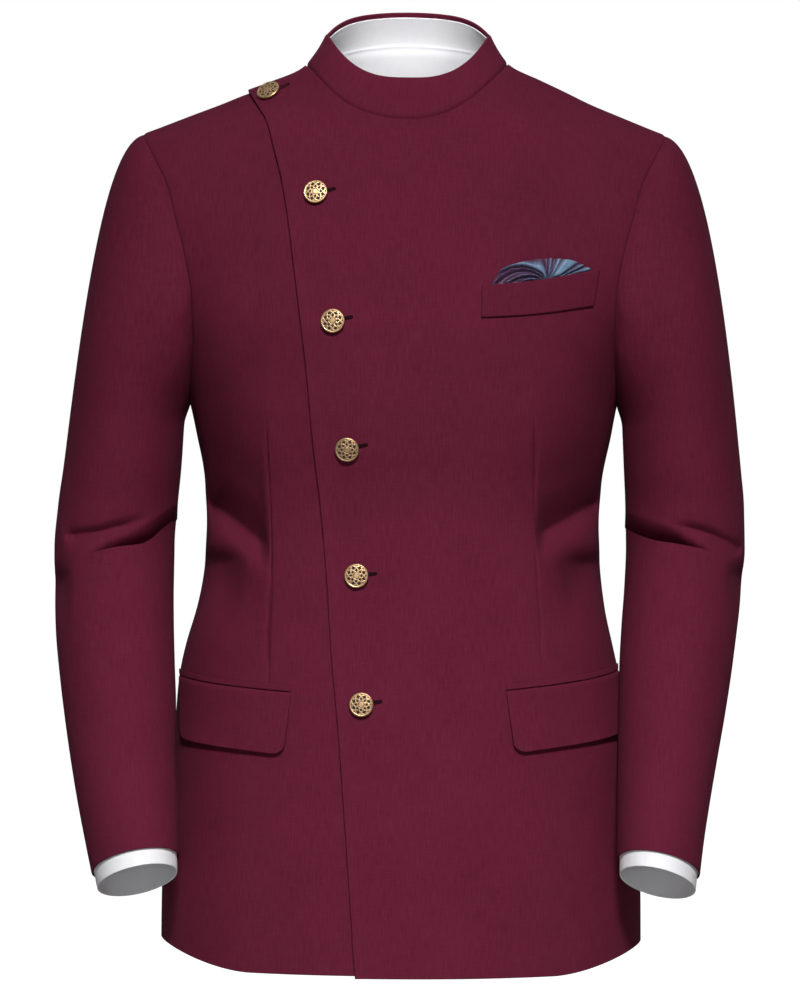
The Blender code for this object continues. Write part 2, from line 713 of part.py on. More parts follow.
def collar_grid(levels):
    """The stand collar as rows of points, at these shares of its height, with their outward directions.
    Its two ends meet at the right side neck point, so the directions run on from one to the other."""
    loop = neckline()
    rows = []
    for share in levels:
        row = []
        for base, _normal in loop:
            top = collar_top(base)
            foot = base + (top - base).normalized() * SEAM_GAP
            swell = Vector((base.x, base.y, 0.0)).normalized() * 0.0012 * math.sin(math.pi * share)
            row.append(foot.lerp(top, share) + swell)
        rows.append(row)
    last = len(rows) - 1
    count = len(loop)
    normals = []
    for i in range(last + 1):
        line = []
        for j in range(count):
            around = rows[i][j + 1 if j < count - 1 else 1] - rows[i][j - 1 if j else count - 2]
            upward = rows[min(i + 1, last)][j] - rows[max(i - 1, 0)][j]
            line.append(around.cross(upward).normalized())
        normals.append(line)
    return rows, normals


def make_collar(cloth, lining, collection):
    """The stand collar, open at the right shoulder, and the white band that lines it."""
    rows, normals = collar_grid(even_steps(0.0, 1.0, 4))
    cloth_wall("collar", trimmed(rows, SEAM_GAP), normals, COLLAR_CLOTH, cloth, collection)
    rows, normals = collar_grid(even_steps(0.03, 0.90, 3))
    inset = COLLAR_CLOTH + 2 * SEAM_GAP
    points = [[p - n * inset for p, n in zip(prow, nrow)] for prow, nrow in zip(rows, normals)]
    cloth_wall("collar_lining", trimmed(points, 0.002), normals, LINING, lining, collection)


def make_yoke_lining(material, collection):
    """The white lining of the upper back, which shows through the neck."""
    turns = [-t for t in reversed(side_turns()[:-4])][:-1] + side_turns()[:-4]
    first = SKIRT_ROWS + 3
    last = SKIRT_ROWS + ARMHOLE_ROWS
    inset = CLOTH + 3 * SEAM_GAP

    def place(i, j):
        x, z = body_place(turns[j], first + i, BACK)
        return body_point(x, z, BACK, -inset)

    points, normals = grid_of(place, last - first + 1, len(turns))
    cloth_wall("yoke_lining", trimmed(points, 0.003), normals, LINING, material, collection)


def hip_line(share, pocket):
    """x and z along the hip pocket's mouth, from its front end at share 0 to the side."""
    start = math.degrees(math.asin(pocket.front_x / half_width(pocket.front_z)))
    turn = start + (HIP_POCKET_SIDE_TURN - start) * share
    z = pocket.front_z + (pocket.side_z - pocket.front_z) * share
    return pocket.arm * half_width(z) * math.sin(math.radians(turn)), z


def front_lift(arm, x, z):
    return lap_lift(x, z) if arm == LEFT else 0.0


def make_hip_pocket(pocket, material, collection):
    """A hip pocket's flap and the narrow jetting above it, both laid on the front."""
    arm, word = pocket.arm, pocket.word
    shares = [0.0, 0.03, 0.09, 0.25, 0.45, 0.65, 0.85, 0.96, 1.0]
    drops = [0.0, 0.35, 0.70, 0.90, 1.0]

    def flap_place(i, j):
        x, z = hip_line(shares[j], pocket)
        from_end = min(shares[j], 1.0 - shares[j]) * HIP_POCKET_LENGTH
        corner = max(0.0, FLAP_CORNER - from_end)
        depth = FLAP_DEPTH - (FLAP_CORNER - math.sqrt(FLAP_CORNER**2 - corner**2)) * 0.75
        slant = FLAP_SLANT * max(0.0, 1.0 - shares[j] / 0.25) * drops[i]
        z -= 0.0002 + depth * drops[i]
        x = arm * min(abs(x) + slant, half_width(z) * 0.996)
        lift = FLAP_CLOTH + 0.0009 + 0.0010 * drops[i]
        return body_point(x, z, FRONT, front_lift(arm, x, z) + lift)

    points, normals = grid_of(flap_place, len(drops), len(shares))
    cloth_wall(f"flap_{word}", points, normals, FLAP_CLOTH, material, collection)

    def jetting_place(i, j):
        x, z = hip_line(j / 8, pocket)
        z += 0.0006 + JETTING_DEPTH * i
        return body_point(x, z, FRONT, front_lift(arm, x, z) + 0.0018)

    points, normals = grid_of(jetting_place, 2, 9)
    cloth_wall(f"jetting_{word}", points, normals, 0.0010, material, collection)


def welt_line(share):
    """x and z along the chest welt's upper edge, from its inner end."""
    x = WELT_INNER_X + (WELT_OUTER_X - WELT_INNER_X) * share
    bow = 0.0022 * math.sin(math.pi * share)
    return x, WELT_INNER_Z + (WELT_OUTER_Z - WELT_INNER_Z) * share - bow


def make_chest_pocket(cloth, silk, collection):
    """The chest welt and the folded silk square that stands in it."""
    room = 0.0032

    def welt_place(i, j):
        share, down = j / 8, 1.0 - i / 3
        x, z = welt_line(share)
        x -= WELT_OUTER_SLANT * share * down
        z -= (WELT_INNER_DEPTH + (WELT_OUTER_DEPTH - WELT_INNER_DEPTH) * share) * down
        lift = SEAM_GAP + CLOTH + room * (i / 3)
        return body_point(x, z, FRONT, front_lift(LEFT, x, z) + lift)

    points, normals = grid_of(welt_place, 4, 9)
    cloth_wall("chest_welt", points, normals, CLOTH, cloth, collection)
    columns = 4 * SQUARE_FOLDS + 1

    def square_place(i, j):
        share = j / (columns - 1)
        line = (SQUARE_INNER_X - WELT_INNER_X) / (WELT_OUTER_X - WELT_INNER_X)
        line += share * (SQUARE_OUTER_X - SQUARE_INNER_X) / (WELT_OUTER_X - WELT_INNER_X)
        x, z = welt_line(line)
        top = SQUARE_RISE * math.sin(math.pi * (0.03 + 0.94 * share)) ** 0.7 * (1.0 - 0.25 * share)
        climb = i / 4
        z += -SQUARE_TUCK + (SQUARE_TUCK + top) * climb
        above = smooth_step((climb * (SQUARE_TUCK + top) - SQUARE_TUCK) / 0.010)
        ripple = 0.5 + 0.5 * math.cos(2 * math.pi * SQUARE_FOLDS * share)
        lift = SEAM_GAP + 0.0012 + above * (0.0012 + 0.0030 * ripple)
        return body_point(x, z, FRONT, front_lift(LEFT, x, z) + lift)

    points, normals = grid_of(square_place, 5, columns)
    cloth_wall("pocket_square", points, normals, 0.0009, silk, collection)


def make_button(number, place, material, collection):
    """A shanked metal button: a turned profile, standing on the over front."""
    name = f"button_{number}"
    mesh = bpy.data.meshes.new(name)
    rings = [(radius * BUTTON_RADIUS, 0.0, height * BUTTON_RADIUS) for radius, height in BUTTON_PROFILE]
    mesh.from_pydata(rings, [(i, i + 1) for i in range(len(rings) - 1)], [])
    mesh.materials.append(material)
    obj = bpy.data.objects.new(name, mesh)
    screw = obj.modifiers.new("Turned", "SCREW")
    screw.axis = "Z"
    screw.steps = screw.render_steps = BUTTON_STEPS
    screw.use_merge_vertices = True
    screw.merge_threshold = 0.00002
    seat, normal = body_point(place.x, place.height, FRONT, LAP_LIFT + SEAM_GAP)
    facing = (normal + Vector((0.0, -place.droop, 0.0))).normalized()
    if place.droop:
        seat += normal * (0.30 * BUTTON_RADIUS * place.droop * 0.4)
    turned = facing.to_track_quat("Z", "X").to_matrix().to_4x4()
    obj.matrix_world = Matrix.Translation(seat) @ turned
    collection.objects.link(obj)


def main():
    clear_scene()
    collection = bpy.data.collections.new("bandhgala_jacket")
    bpy.context.scene.collection.children.link(collection)
    cloth = make_material("wine_cloth", WINE_CLOTH, 0.85)
    lining = make_material("white_lining", WHITE_LINING, 0.70)
    gold = make_material("antique_gold", ANTIQUE_GOLD, 0.35, 1.0)
    silk = make_material("blue_silk", BLUE_SILK, 0.40)

    make_back("back_left", LEFT, cloth, collection)
    make_back("back_right", RIGHT, cloth, collection)
    make_under_front(cloth, collection)
    make_over_front(cloth, collection)
    for arm, word in ((LEFT, "left"), (RIGHT, "right")):
        make_sleeve(arm, word, cloth, collection)
        make_cuff_lining(arm, word, lining, collection)
    for pocket in HIP_POCKETS:
        make_hip_pocket(pocket, cloth, collection)
    make_collar(cloth, lining, collection)
    make_yoke_lining(lining, collection)
    make_chest_pocket(cloth, silk, collection)
    for number, place in enumerate(BUTTON_PLACES, start=1):
        make_button(number, place, gold, collection)


main()
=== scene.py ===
# The bandhgala jacket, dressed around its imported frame.
# Metres, +Z up; the front faces -Y and the wearer's left is +X.
import math

import bmesh
import bpy
import numpy as np
from mathutils import Matrix, Vector


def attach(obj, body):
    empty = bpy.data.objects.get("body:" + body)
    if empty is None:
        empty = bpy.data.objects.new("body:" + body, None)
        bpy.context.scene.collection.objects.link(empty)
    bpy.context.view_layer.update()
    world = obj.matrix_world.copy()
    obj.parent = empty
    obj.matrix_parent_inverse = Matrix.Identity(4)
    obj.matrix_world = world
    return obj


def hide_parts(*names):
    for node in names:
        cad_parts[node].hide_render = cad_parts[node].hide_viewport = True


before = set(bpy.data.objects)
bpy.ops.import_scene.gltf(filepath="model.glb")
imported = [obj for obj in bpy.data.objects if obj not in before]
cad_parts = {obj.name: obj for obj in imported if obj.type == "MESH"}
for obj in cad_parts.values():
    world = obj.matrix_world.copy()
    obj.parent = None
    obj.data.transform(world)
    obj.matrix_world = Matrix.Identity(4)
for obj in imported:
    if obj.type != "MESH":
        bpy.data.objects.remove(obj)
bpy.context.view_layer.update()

# Camera, floor and light
# The photograph looks straight at the chest from far off, so the lens is long and level. A plain
# pale floor lies below the hem. Two soft lamps stand in front, one hangs above the jacket, and a
# small one lights the inside of the neck.

CAMERA_DISTANCE, CAMERA_HEIGHT, CAMERA_ASIDE = 4.0, -0.357, -0.0024
CAMERA_ROLL_DEGREES = -0.25
VIEW_WIDTH, SENSOR_WIDTH_MM = 0.84, 36.0
bpy.ops.object.select_all(action="DESELECT")
bpy.ops.object.camera_add(
    location=(CAMERA_ASIDE, -CAMERA_DISTANCE, CAMERA_HEIGHT),
    rotation=(math.pi / 2, math.radians(CAMERA_ROLL_DEGREES), 0.0),
)
camera = bpy.context.object
camera.name = "front_camera"
camera.data.sensor_width = SENSOR_WIDTH_MM
camera.data.lens = SENSOR_WIDTH_MM * CAMERA_DISTANCE / VIEW_WIDTH
bpy.context.scene.camera = camera
bpy.context.scene.view_settings.view_transform = "Standard"


def new_material(name, **values):
    """A material, its nodes and its shader, with the shader's values set; _ stands for a space."""
    material = bpy.data.materials.new(name)
    material.use_nodes = True
    shader = material.node_tree.nodes["Principled BSDF"]
    for key, value in values.items():
        shader.inputs[key.replace("_", " ")].default_value = value
    return material, material.node_tree, shader


def add_node(tree, kind, settings=None, **inputs):
    """A shader node with its settings, and its inputs set or linked; _ stands for a space."""
    node = tree.nodes.new(kind)
    for key, value in (settings or {}).items():
        setattr(node, key, value)
    for key, value in inputs.items():
        socket = node.inputs[int(key[1:]) if key[1:].isdigit() else key.replace("_", " ")]
        if isinstance(value, bpy.types.NodeSocket):
            tree.links.new(value, socket)
        else:
            socket.default_value = value
    return node


FLOOR_WIDTH, FLOOR_HEIGHT = 60.0, -0.830
bpy.ops.mesh.primitive_plane_add(size=FLOOR_WIDTH, location=(0.0, 0.0, FLOOR_HEIGHT))
floor = bpy.context.object
floor.name = "floor"
floor_paper, tree, shader = new_material(
    "pale_floor_paper", Base_Color=(0.42, 0.42, 0.42, 1.0), Roughness=0.9,
    Specular_IOR_Level=0.1, Emission_Color=(1.0, 1.0, 1.0, 1.0),
)
seen_directly = add_node(tree, "ShaderNodeLightPath").outputs["Is Camera Ray"]
tree.links.new(seen_directly, shader.inputs["Emission Strength"])
floor.data.materials.append(floor_paper)

world = bpy.data.worlds.new("white_studio")
world.use_nodes = True
studio = world.node_tree
# The room's light on the jacket, and how bright the room looks in its metal
AMBIENT, MIRRORED = 0.05, 0.28
background = studio.nodes["Background"]
background.inputs["Color"].default_value = (1.0, 1.0, 1.0, 1.0)
rays = add_node(studio, "ShaderNodeLightPath")
room = add_node(
    studio, "ShaderNodeMath", {"operation": "MULTIPLY_ADD"},
    _0=rays.outputs["Is Glossy Ray"], _1=MIRRORED, _2=AMBIENT,
)
seen_white = add_node(
    studio, "ShaderNodeMath", {"operation": "MAXIMUM"},
    _0=rays.outputs["Is Camera Ray"], _1=room.outputs["Value"],
)
studio.links.new(seen_white.outputs["Value"], background.inputs["Strength"])
bpy.context.scene.world = world


def add_softbox(name, place, aim, size, power, degrees):
    """A square studio lamp that faces a point and spreads its light over so many degrees."""
    bpy.ops.object.light_add(type="AREA", location=place)
    lamp = bpy.context.object
    lamp.name = name
    lamp.data.shape = "SQUARE"
    lamp.data.size = size
    lamp.data.energy = power
    lamp.data.spread = math.radians(degrees)
    lamp.rotation_euler = (Vector(aim) - Vector(place)).to_track_quat("-Z", "Y").to_euler()


add_softbox("key_lamp", (0.20, -3.4, 2.4), (0.0, 0.0, -1.10), 0.7, 13.5, 45.0)
add_softbox("low_lamp", (-0.2, -3.6, -0.60), (0.0, 0.0, -0.65), 1.0, 3.0, 90.0)
add_softbox("top_lamp", (-0.2, 0.1, 1.9), (0.0, 0.0, -0.10), 1.2, 3.0, 180.0)
add_softbox("neck_lamp", (0.0, -0.25, 0.40), (0.0, 0.055, 0.018), 0.06, 0.050, 31.0)

# The back
# Two halves of a fine wine-red wool and silk cloth, with a centre seam and shaped in at the waist.
# They are sewn to each other, to the fronts at shoulder and side, and to the sleeves.

FRONT, BACK = -1, 1
LEFT, RIGHT = 1, -1
SIDES = (("left", LEFT), ("right", RIGHT))
CLOTH = 0.0018
SEAM_GAP = 0.000002
# How deep the cloth sinks at each kind of seam, and from how far off
SEAMS = {"seam": (0.0009, 0.0015), "deep": (0.0017, 0.0011)}
LINING_GAP = 0.0004
EDGE_ROUNDING = 0.46
SHARP_DEGREES = 50.0
NECK_HALF, NECK_FRONT, NECK_BACK = 0.087, -0.0435, 0.0220
SHOULDER_HALF, SHOULDER_TIP, SHOULDER_TOP = 0.2190, -0.052, 0.018
ARMHOLE_BOTTOM = -0.276
HEM_SIDE, HEM_FRONT_DIP, HEM_BACK_DIP = -0.7235, 0.0205, 0.006
HEM_CURVE_START = 0.62
# Mesh rows are counted from the hem to the armhole's lowest point, and from there to the top
SKIRT_ROWS, ARMHOLE_ROWS = 12, 12
TOP_ROW = float(SKIRT_ROWS + ARMHOLE_ROWS)


def table(names, *rows):
    """Named columns of numbers, turned round so that the heights rise."""
    return dict(zip(names.split(), np.array(rows)[::-1].T))


# The body's level sections: how wide and deep they are, and how square. 2 is an ellipse
BODY_SECTIONS = table(
    "height half_width front back roundness",
    (0.030, 0.0720, 0.050, 0.064, 2.20),
    (0.018, 0.0780, 0.056, 0.068, 2.10),
    (0.006, 0.0915, 0.062, 0.072, 1.90),
    (-0.004, 0.1135, 0.066, 0.076, 1.75),
    (-0.014, 0.1350, 0.069, 0.080, 1.68),
    (-0.024, 0.1555, 0.072, 0.084, 1.68),
    (-0.034, 0.1795, 0.075, 0.087, 1.70),
    (-0.044, 0.2040, 0.079, 0.090, 1.75),
    (-0.052, 0.2235, 0.082, 0.093, 1.80),
    (-0.060, 0.2360, 0.085, 0.096, 1.85),
    (-0.072, 0.2455, 0.089, 0.100, 1.90),
    (-0.090, 0.2500, 0.095, 0.105, 1.95),
    (-0.115, 0.2490, 0.103, 0.111, 1.98),
    (-0.150, 0.2400, 0.112, 0.117, 2.02),
    (-0.190, 0.2210, 0.120, 0.119, 2.10),
    (-0.230, 0.2010, 0.124, 0.116, 2.22),
    (-0.276, 0.1820, 0.124, 0.110, 2.35),
    (-0.311, 0.1730, 0.120, 0.103, 2.38),
    (-0.345, 0.1665, 0.115, 0.098, 2.36),
    (-0.378, 0.1650, 0.113, 0.095, 2.35),
    (-0.412, 0.1667, 0.114, 0.096, 2.35),
    (-0.446, 0.1700, 0.117, 0.101, 2.28),
    (-0.480, 0.1770, 0.121, 0.108, 2.20),
    (-0.513, 0.1845, 0.125, 0.114, 2.12),
    (-0.564, 0.1920, 0.129, 0.119, 2.08),
    (-0.620, 0.1975, 0.132, 0.123, 2.06),
    (-0.690, 0.2010, 0.134, 0.126, 2.06),
    (-0.770, 0.2015, 0.135, 0.127, 2.06),
)
# How far out the armhole's edge lies at each height
ARMHOLE = table(
    "height front back",
    (-0.050, 0.2190, 0.2190),
    (-0.056, 0.2172, 0.2178),
    (-0.072, 0.2093, 0.2115),
    (-0.097, 0.1974, 0.2020),
    (-0.124, 0.1901, 0.1960),
    (-0.145, 0.1844, 0.1920),
    (-0.170, 0.1789, 0.1880),
    (-0.192, 0.1761, 0.1850),
    (-0.220, 0.1768, 0.1825),
    (-0.250, 0.1795, 0.1822),
    (-0.276, 0.1820, 0.1820),
)
# A broad soft fold below each armhole: from x, z to x, z, half width, how far it moves the cloth,
# and how far it runs on round the side onto the back
BODY_FOLD = (0.185, -0.230, 0.160, -0.330, 0.024, -0.0035)
FOLD_RUNS_BACK, PRESS_RUNS_BACK = 0.060, 0.070
# How far the waist's sides are drawn back between the darts and the side seams, for each height
# above the slanting ridge where the cloth comes out again
WAIST_PRESS = table(
    "height depth",
    (0.180, 0.0),
    (0.130, 0.0050),
    (0.080, 0.0120),
    (0.040, 0.0185),
    (0.010, 0.0220),
    (-0.010, 0.0180),
    (-0.030, 0.0120),
    (-0.060, 0.0075),
    (-0.100, 0.0020),
    (-0.125, 0.0),
)
PRESS_START, PRESS_EASE, RIDGE_INNER, RIDGE_RISE = 0.1075, 0.04, -0.3920, 0.54
# A second, smaller hollow below the ridge: where it starts, over what width it deepens, its
# height, how far it reaches above and below that, and its depth
DIP_START, DIP_WIDTH, DIP_HEIGHT, DIP_ABOVE, DIP_BELOW = 0.127, 0.014, -0.412, 0.012, 0.030
DIP_DEPTH = 0.0190
# How the jacket settles on one side: how far, where the middle of it lies, and how far it reaches
SHOULDERS_FROM, SHOULDERS_OVER = -0.075, 0.060
NECK_SINK, NECK_SINK_REACH = 0.0015, 0.060
LAP_SINK, LAP_SINK_X, LAP_SINK_REACH = 0.0032, -0.108, 0.038
LAP_SHIFT, LAP_SHIFT_X, LAP_SHIFT_REACH = 0.0055, -0.088, 0.032
HIP_FULLNESS, HIP_HEIGHT, HIP_REACH, HIP_SIDE = 0.0050, -0.485, 0.045, 0.18
LEFT_RIBS, RIGHT_RIBS, RIBS_HEIGHT, RIBS_REACH, RIBS_SIDE = 0.0036, -0.0022, -0.310, 0.035, 0.16


def smooth_step(value):
    """0 below 0, 1 above 1, and an even S curve between."""
    t = np.clip(value, 0.0, 1.0)
    return t * t * (3.0 - 2.0 * t)


def fade(distance, reach):
    """1 at no distance, dying away on both sides."""
    return np.exp(-((distance / reach) ** 2))


def read(rows, column, height):
    """One column of a table at any height, on a smooth curve that never overshoots its rows."""
    heights, values = rows["height"], rows[column]
    steps = np.diff(heights)
    grades = np.diff(values) / steps
    turning = grades[:-1] * grades[1:] <= 0.0
    before, after = np.where(turning, 1.0, grades[:-1]), np.where(turning, 1.0, grades[1:])
    weight, other = 2 * steps[1:] + steps[:-1], steps[1:] + 2 * steps[:-1]
    mean = (weight + other) / (weight / before + other / after)
    inner = np.where(turning, 0.0, mean)
    slopes = np.concatenate([grades[:1], inner, grades[-1:]])
    height = np.clip(height, heights[0], heights[-1])
    i = np.clip(np.searchsorted(heights, height, side="right") - 1, 0, len(steps) - 1)
    step = steps[i]
    t = (height - heights[i]) / step
    return (
        values[i] * (1 + 2 * t) * (1 - t) ** 2
        + slopes[i] * step * t * (1 - t) ** 2
        + values[i + 1] * t * t * (3 - 2 * t)
        + slopes[i + 1] * step * t * t * (t - 1)
    )


def half_width(z):
    """Half the body's width at a height."""
    return read(BODY_SECTIONS, "half_width", z)


def depth_at(z, side):
    """How far the body reaches to the front or back at a height."""
    return np.where(side < 0, read(BODY_SECTIONS, "front", z), read(BODY_SECTIONS, "back", z))


def body_y(x, z, side):
    """How far front or back the body's level section lies at x."""
    power = read(BODY_SECTIONS, "roundness", z)
    share = np.minimum(1.0, np.abs(x) / half_width(z))
    return side * depth_at(z, side) * (1.0 - share**power) ** (1.0 / power)


def body_normal(x, y, z, side):
    """The outward direction of the body's surface."""
    power = read(BODY_SECTIONS, "roundness", z)
    width, depth = half_width(z), depth_at(z, side)

    def level(height):
        """1 on the body's surface and more outside it."""
        exponent = read(BODY_SECTIONS, "roundness", height)
        return (
            (np.abs(x) / half_width(height)) ** exponent
            + (np.abs(y) / depth_at(height, side)) ** exponent
        )

    step = 0.001
    grade_x = power * (np.abs(x) / width) ** (power - 1) / width
    grade_y = power * (np.abs(y) / depth) ** (power - 1) / depth
    grade_z = (level(z + step) - level(z - step)) / (2 * step)
    normal = np.stack([np.copysign(grade_x, x), np.copysign(grade_y, y), grade_z], axis=-1)
    return normal / np.linalg.norm(normal, axis=-1, keepdims=True)


def shoulder_height(x):
    """Height of the shoulder line at this distance from the centre, found by halving."""
    low = np.full(np.shape(x), SHOULDER_TIP)
    high = np.full(np.shape(x), SHOULDER_TOP)
    for _ in range(40):
        middle = (low + high) / 2
        inside = half_width(middle) > np.abs(x)
        low, high = np.where(inside, middle, low), np.where(inside, high, middle)
    return (low + high) / 2


SIDE_NECK_HEIGHT = float(shoulder_height(np.array(NECK_HALF)))
SHOULDER_END_HEIGHT = float(shoulder_height(np.array(SHOULDER_HALF)))
NECK_TURN = math.degrees(math.asin(NECK_HALF / SHOULDER_HALF))


def top_height(x, side):
    """Height of the body's upper seam: the neckline near the centre, the shoulder line past it."""
    share = np.abs(x) / NECK_HALF
    front = NECK_FRONT + (SIDE_NECK_HEIGHT - NECK_FRONT) * share**2.2
    back = NECK_BACK + (SIDE_NECK_HEIGHT - NECK_BACK) * share**2
    return np.where(share >= 1.0, shoulder_height(x), np.where(side < 0, front, back))


def hem_height(turn, side):
    """Height of the hem at a turn from the centre line; the front dips, with rounded ends."""
    across = np.abs(np.sin(np.radians(turn)))
    rise = np.maximum(0.0, (across - HEM_CURVE_START) / (1.0 - HEM_CURVE_START)) ** 1.7
    front = HEM_SIDE - HEM_FRONT_DIP * (1.0 - rise)
    return np.where(side < 0, front, HEM_SIDE - HEM_BACK_DIP * (1.0 - across**2))


def upper_place(turn, angle, side):
    """x and z above the armhole's lowest point; the angle is 180 there and 0 at the upper seam."""
    climb = (1.0 + np.cos(np.radians(angle))) / 2
    edge_z = ARMHOLE_BOTTOM + (SHOULDER_END_HEIGHT - ARMHOLE_BOTTOM) * climb
    edge_x = np.where(side < 0, read(ARMHOLE, "front", edge_z), read(ARMHOLE, "back", edge_z))
    across = np.sin(np.radians(turn))
    z_top = top_height(SHOULDER_HALF * across, side)
    return edge_x * across, ARMHOLE_BOTTOM + (z_top - ARMHOLE_BOTTOM) * climb


def body_place(turn, row, side, extra=0.0):
    """x and z for one mesh row, counted from the hem up; a row may lie between two."""
    hem = hem_height(turn, side) - extra
    z_low = hem + (ARMHOLE_BOTTOM - hem) * np.minimum(row, SKIRT_ROWS) / SKIRT_ROWS
    x_low = half_width(z_low) * np.sin(np.radians(turn))
    angle = 180.0 - 180.0 * (np.maximum(row, SKIRT_ROWS) - SKIRT_ROWS) / ARMHOLE_ROWS
    x_high, z_high = upper_place(turn, angle, side)
    lower = row <= SKIRT_ROWS
    return np.where(lower, x_low, x_high), np.where(lower, z_low, z_high)


def beside_line(px, pz, dx, dz):
    """The share of a straight line passed at places counted from its start, and how far beside it
    they lie."""
    length = math.hypot(dx, dz)
    return (px * dx + pz * dz) / length / length, (px * dz - pz * dx) / length


def fold_offset(x, z):
    """How far the broad soft fold moves the cloth."""
    x0, z0, x1, z1, reach, out = BODY_FOLD
    share, across = beside_line(np.abs(x) - x0, z - z0, x1 - x0, z1 - z0)
    ends = smooth_step((share + 0.35) / 0.35) * smooth_step((1.25 - share) / 0.45)
    return out * ends * fade(across, reach)


def waist_press(x, z):
    """How far back the waist's cloth lies between the dart and the side seam. It bends softly at
    the dart, and lies deepest at the side."""
    aside = np.abs(x)
    share = np.clip((aside - PRESS_START) / (half_width(z) - PRESS_START), 0.0, 1.0)
    bend = np.maximum(0.0, share - PRESS_EASE * (1.0 - np.exp(-share / PRESS_EASE)))
    above = z - RIDGE_INNER - RIDGE_RISE * (aside - PRESS_START)
    press = read(WAIST_PRESS, "depth", above) * (1.0 - (1.0 - bend) ** 2)
    deepens = 1.0 - fade(np.maximum(0.0, aside - DIP_START), DIP_WIDTH)
    reach = np.where(z > DIP_HEIGHT, DIP_ABOVE, DIP_BELOW)
    return press + DIP_DEPTH * deepens * fade(z - DIP_HEIGHT, reach)


def settled(points):
    """The right shoulder sits a little lower near the neck, where the over front laps onto it, and
    the jacket hangs a little fuller at the right hip and round the ribs."""
    x, z = points[..., 0], points[..., 2]
    at_top = smooth_step((z - SHOULDERS_FROM) / SHOULDERS_OVER)
    sink = NECK_SINK * smooth_step(-x / NECK_SINK_REACH)
    sink = sink + LAP_SINK * fade(x - LAP_SINK_X, LAP_SINK_REACH)
    aside = at_top * LAP_SHIFT * fade(x - LAP_SHIFT_X, LAP_SHIFT_REACH)
    aside -= HIP_FULLNESS * smooth_step(-x / HIP_SIDE) * fade(z - HIP_HEIGHT, HIP_REACH)
    ribs = np.where(x > 0.0, LEFT_RIBS, RIGHT_RIBS) * smooth_step(np.abs(x) / RIBS_SIDE)
    aside += ribs * fade(z - RIBS_HEIGHT, RIBS_REACH)
    return points + np.stack([aside, np.zeros(x.shape), -at_top * sink], axis=-1)


def body_point(x, z, side, lift=0.0):
    """Points on the body's outer face, moved out by lift, and their outward directions."""
    y = body_y(x, z, side)
    normal = body_normal(x, y, z, side)
    fold_share = np.where(side < 0, 1.0, smooth_step(1.0 - y / FOLD_RUNS_BACK))
    press_share = np.where(side < 0, 1.0, smooth_step(1.0 - y / PRESS_RUNS_BACK))
    out = lift + fold_offset(x, z) * fold_share
    place = np.stack([x, y, z], axis=-1) + normal * out[..., None]
    place[..., 1] += waist_press(x, z) * press_share
    return settled(place), normal


def spread(count, near_start=(), near_end=()):
    """Shares from 0 to 1: the ones given near either end, and even steps between them."""
    low = [0.0, *near_start]
    high = [1.0 - share for share in reversed(near_end)] + [1.0]
    return np.array(low[:-1] + list(np.linspace(low[-1], high[0], count + 1)) + high[1:])


def grid_between(knots, parts):
    """Columns for every row: the shares of each part, laid out between that row's knots."""
    columns = [knots[0]]
    for start, end, shares in zip(knots, knots[1:], parts):
        columns += [start + (end - start) * share for share in shares[1:]]
    return np.stack(np.broadcast_arrays(*columns), axis=-1)


def border_distances(points):
    """How far each point lies from the grid's lower, upper, first and last border."""
    across = np.linalg.norm(np.diff(points, axis=1), axis=2)
    first = np.concatenate([np.zeros((len(points), 1)), np.cumsum(across, axis=1)], axis=1)
    upward = np.linalg.norm(np.diff(points, axis=0), axis=2)
    lower = np.concatenate([np.zeros((1, points.shape[1])), np.cumsum(upward, axis=0)], axis=0)
    return lower, lower[-1:] - lower, first, first[:, -1:] - first


def around_body(points, side):
    """How far round the body each point lies from the centre line, measured at its own height."""
    x, z = points[..., 0], points[..., 2]
    steps = 24
    shares = [math.sin(i / steps * math.pi / 2) for i in range(steps + 1)]
    total = np.zeros(x.shape)
    before = body_y(np.zeros(x.shape), z, side)
    for last, share in zip(shares, shares[1:]):
        now = body_y(x * share, z, side)
        total += np.hypot(x * (share - last), now - before)
        before = now
    return np.copysign(total, x)


def body_cut(points, side):
    """The cut's own metres on the body: round from the centre line, and up from the hem."""
    lower = border_distances(points)[0]
    return np.stack([around_body(points, side), points[0, :, 2][None, :] + lower], axis=-1)


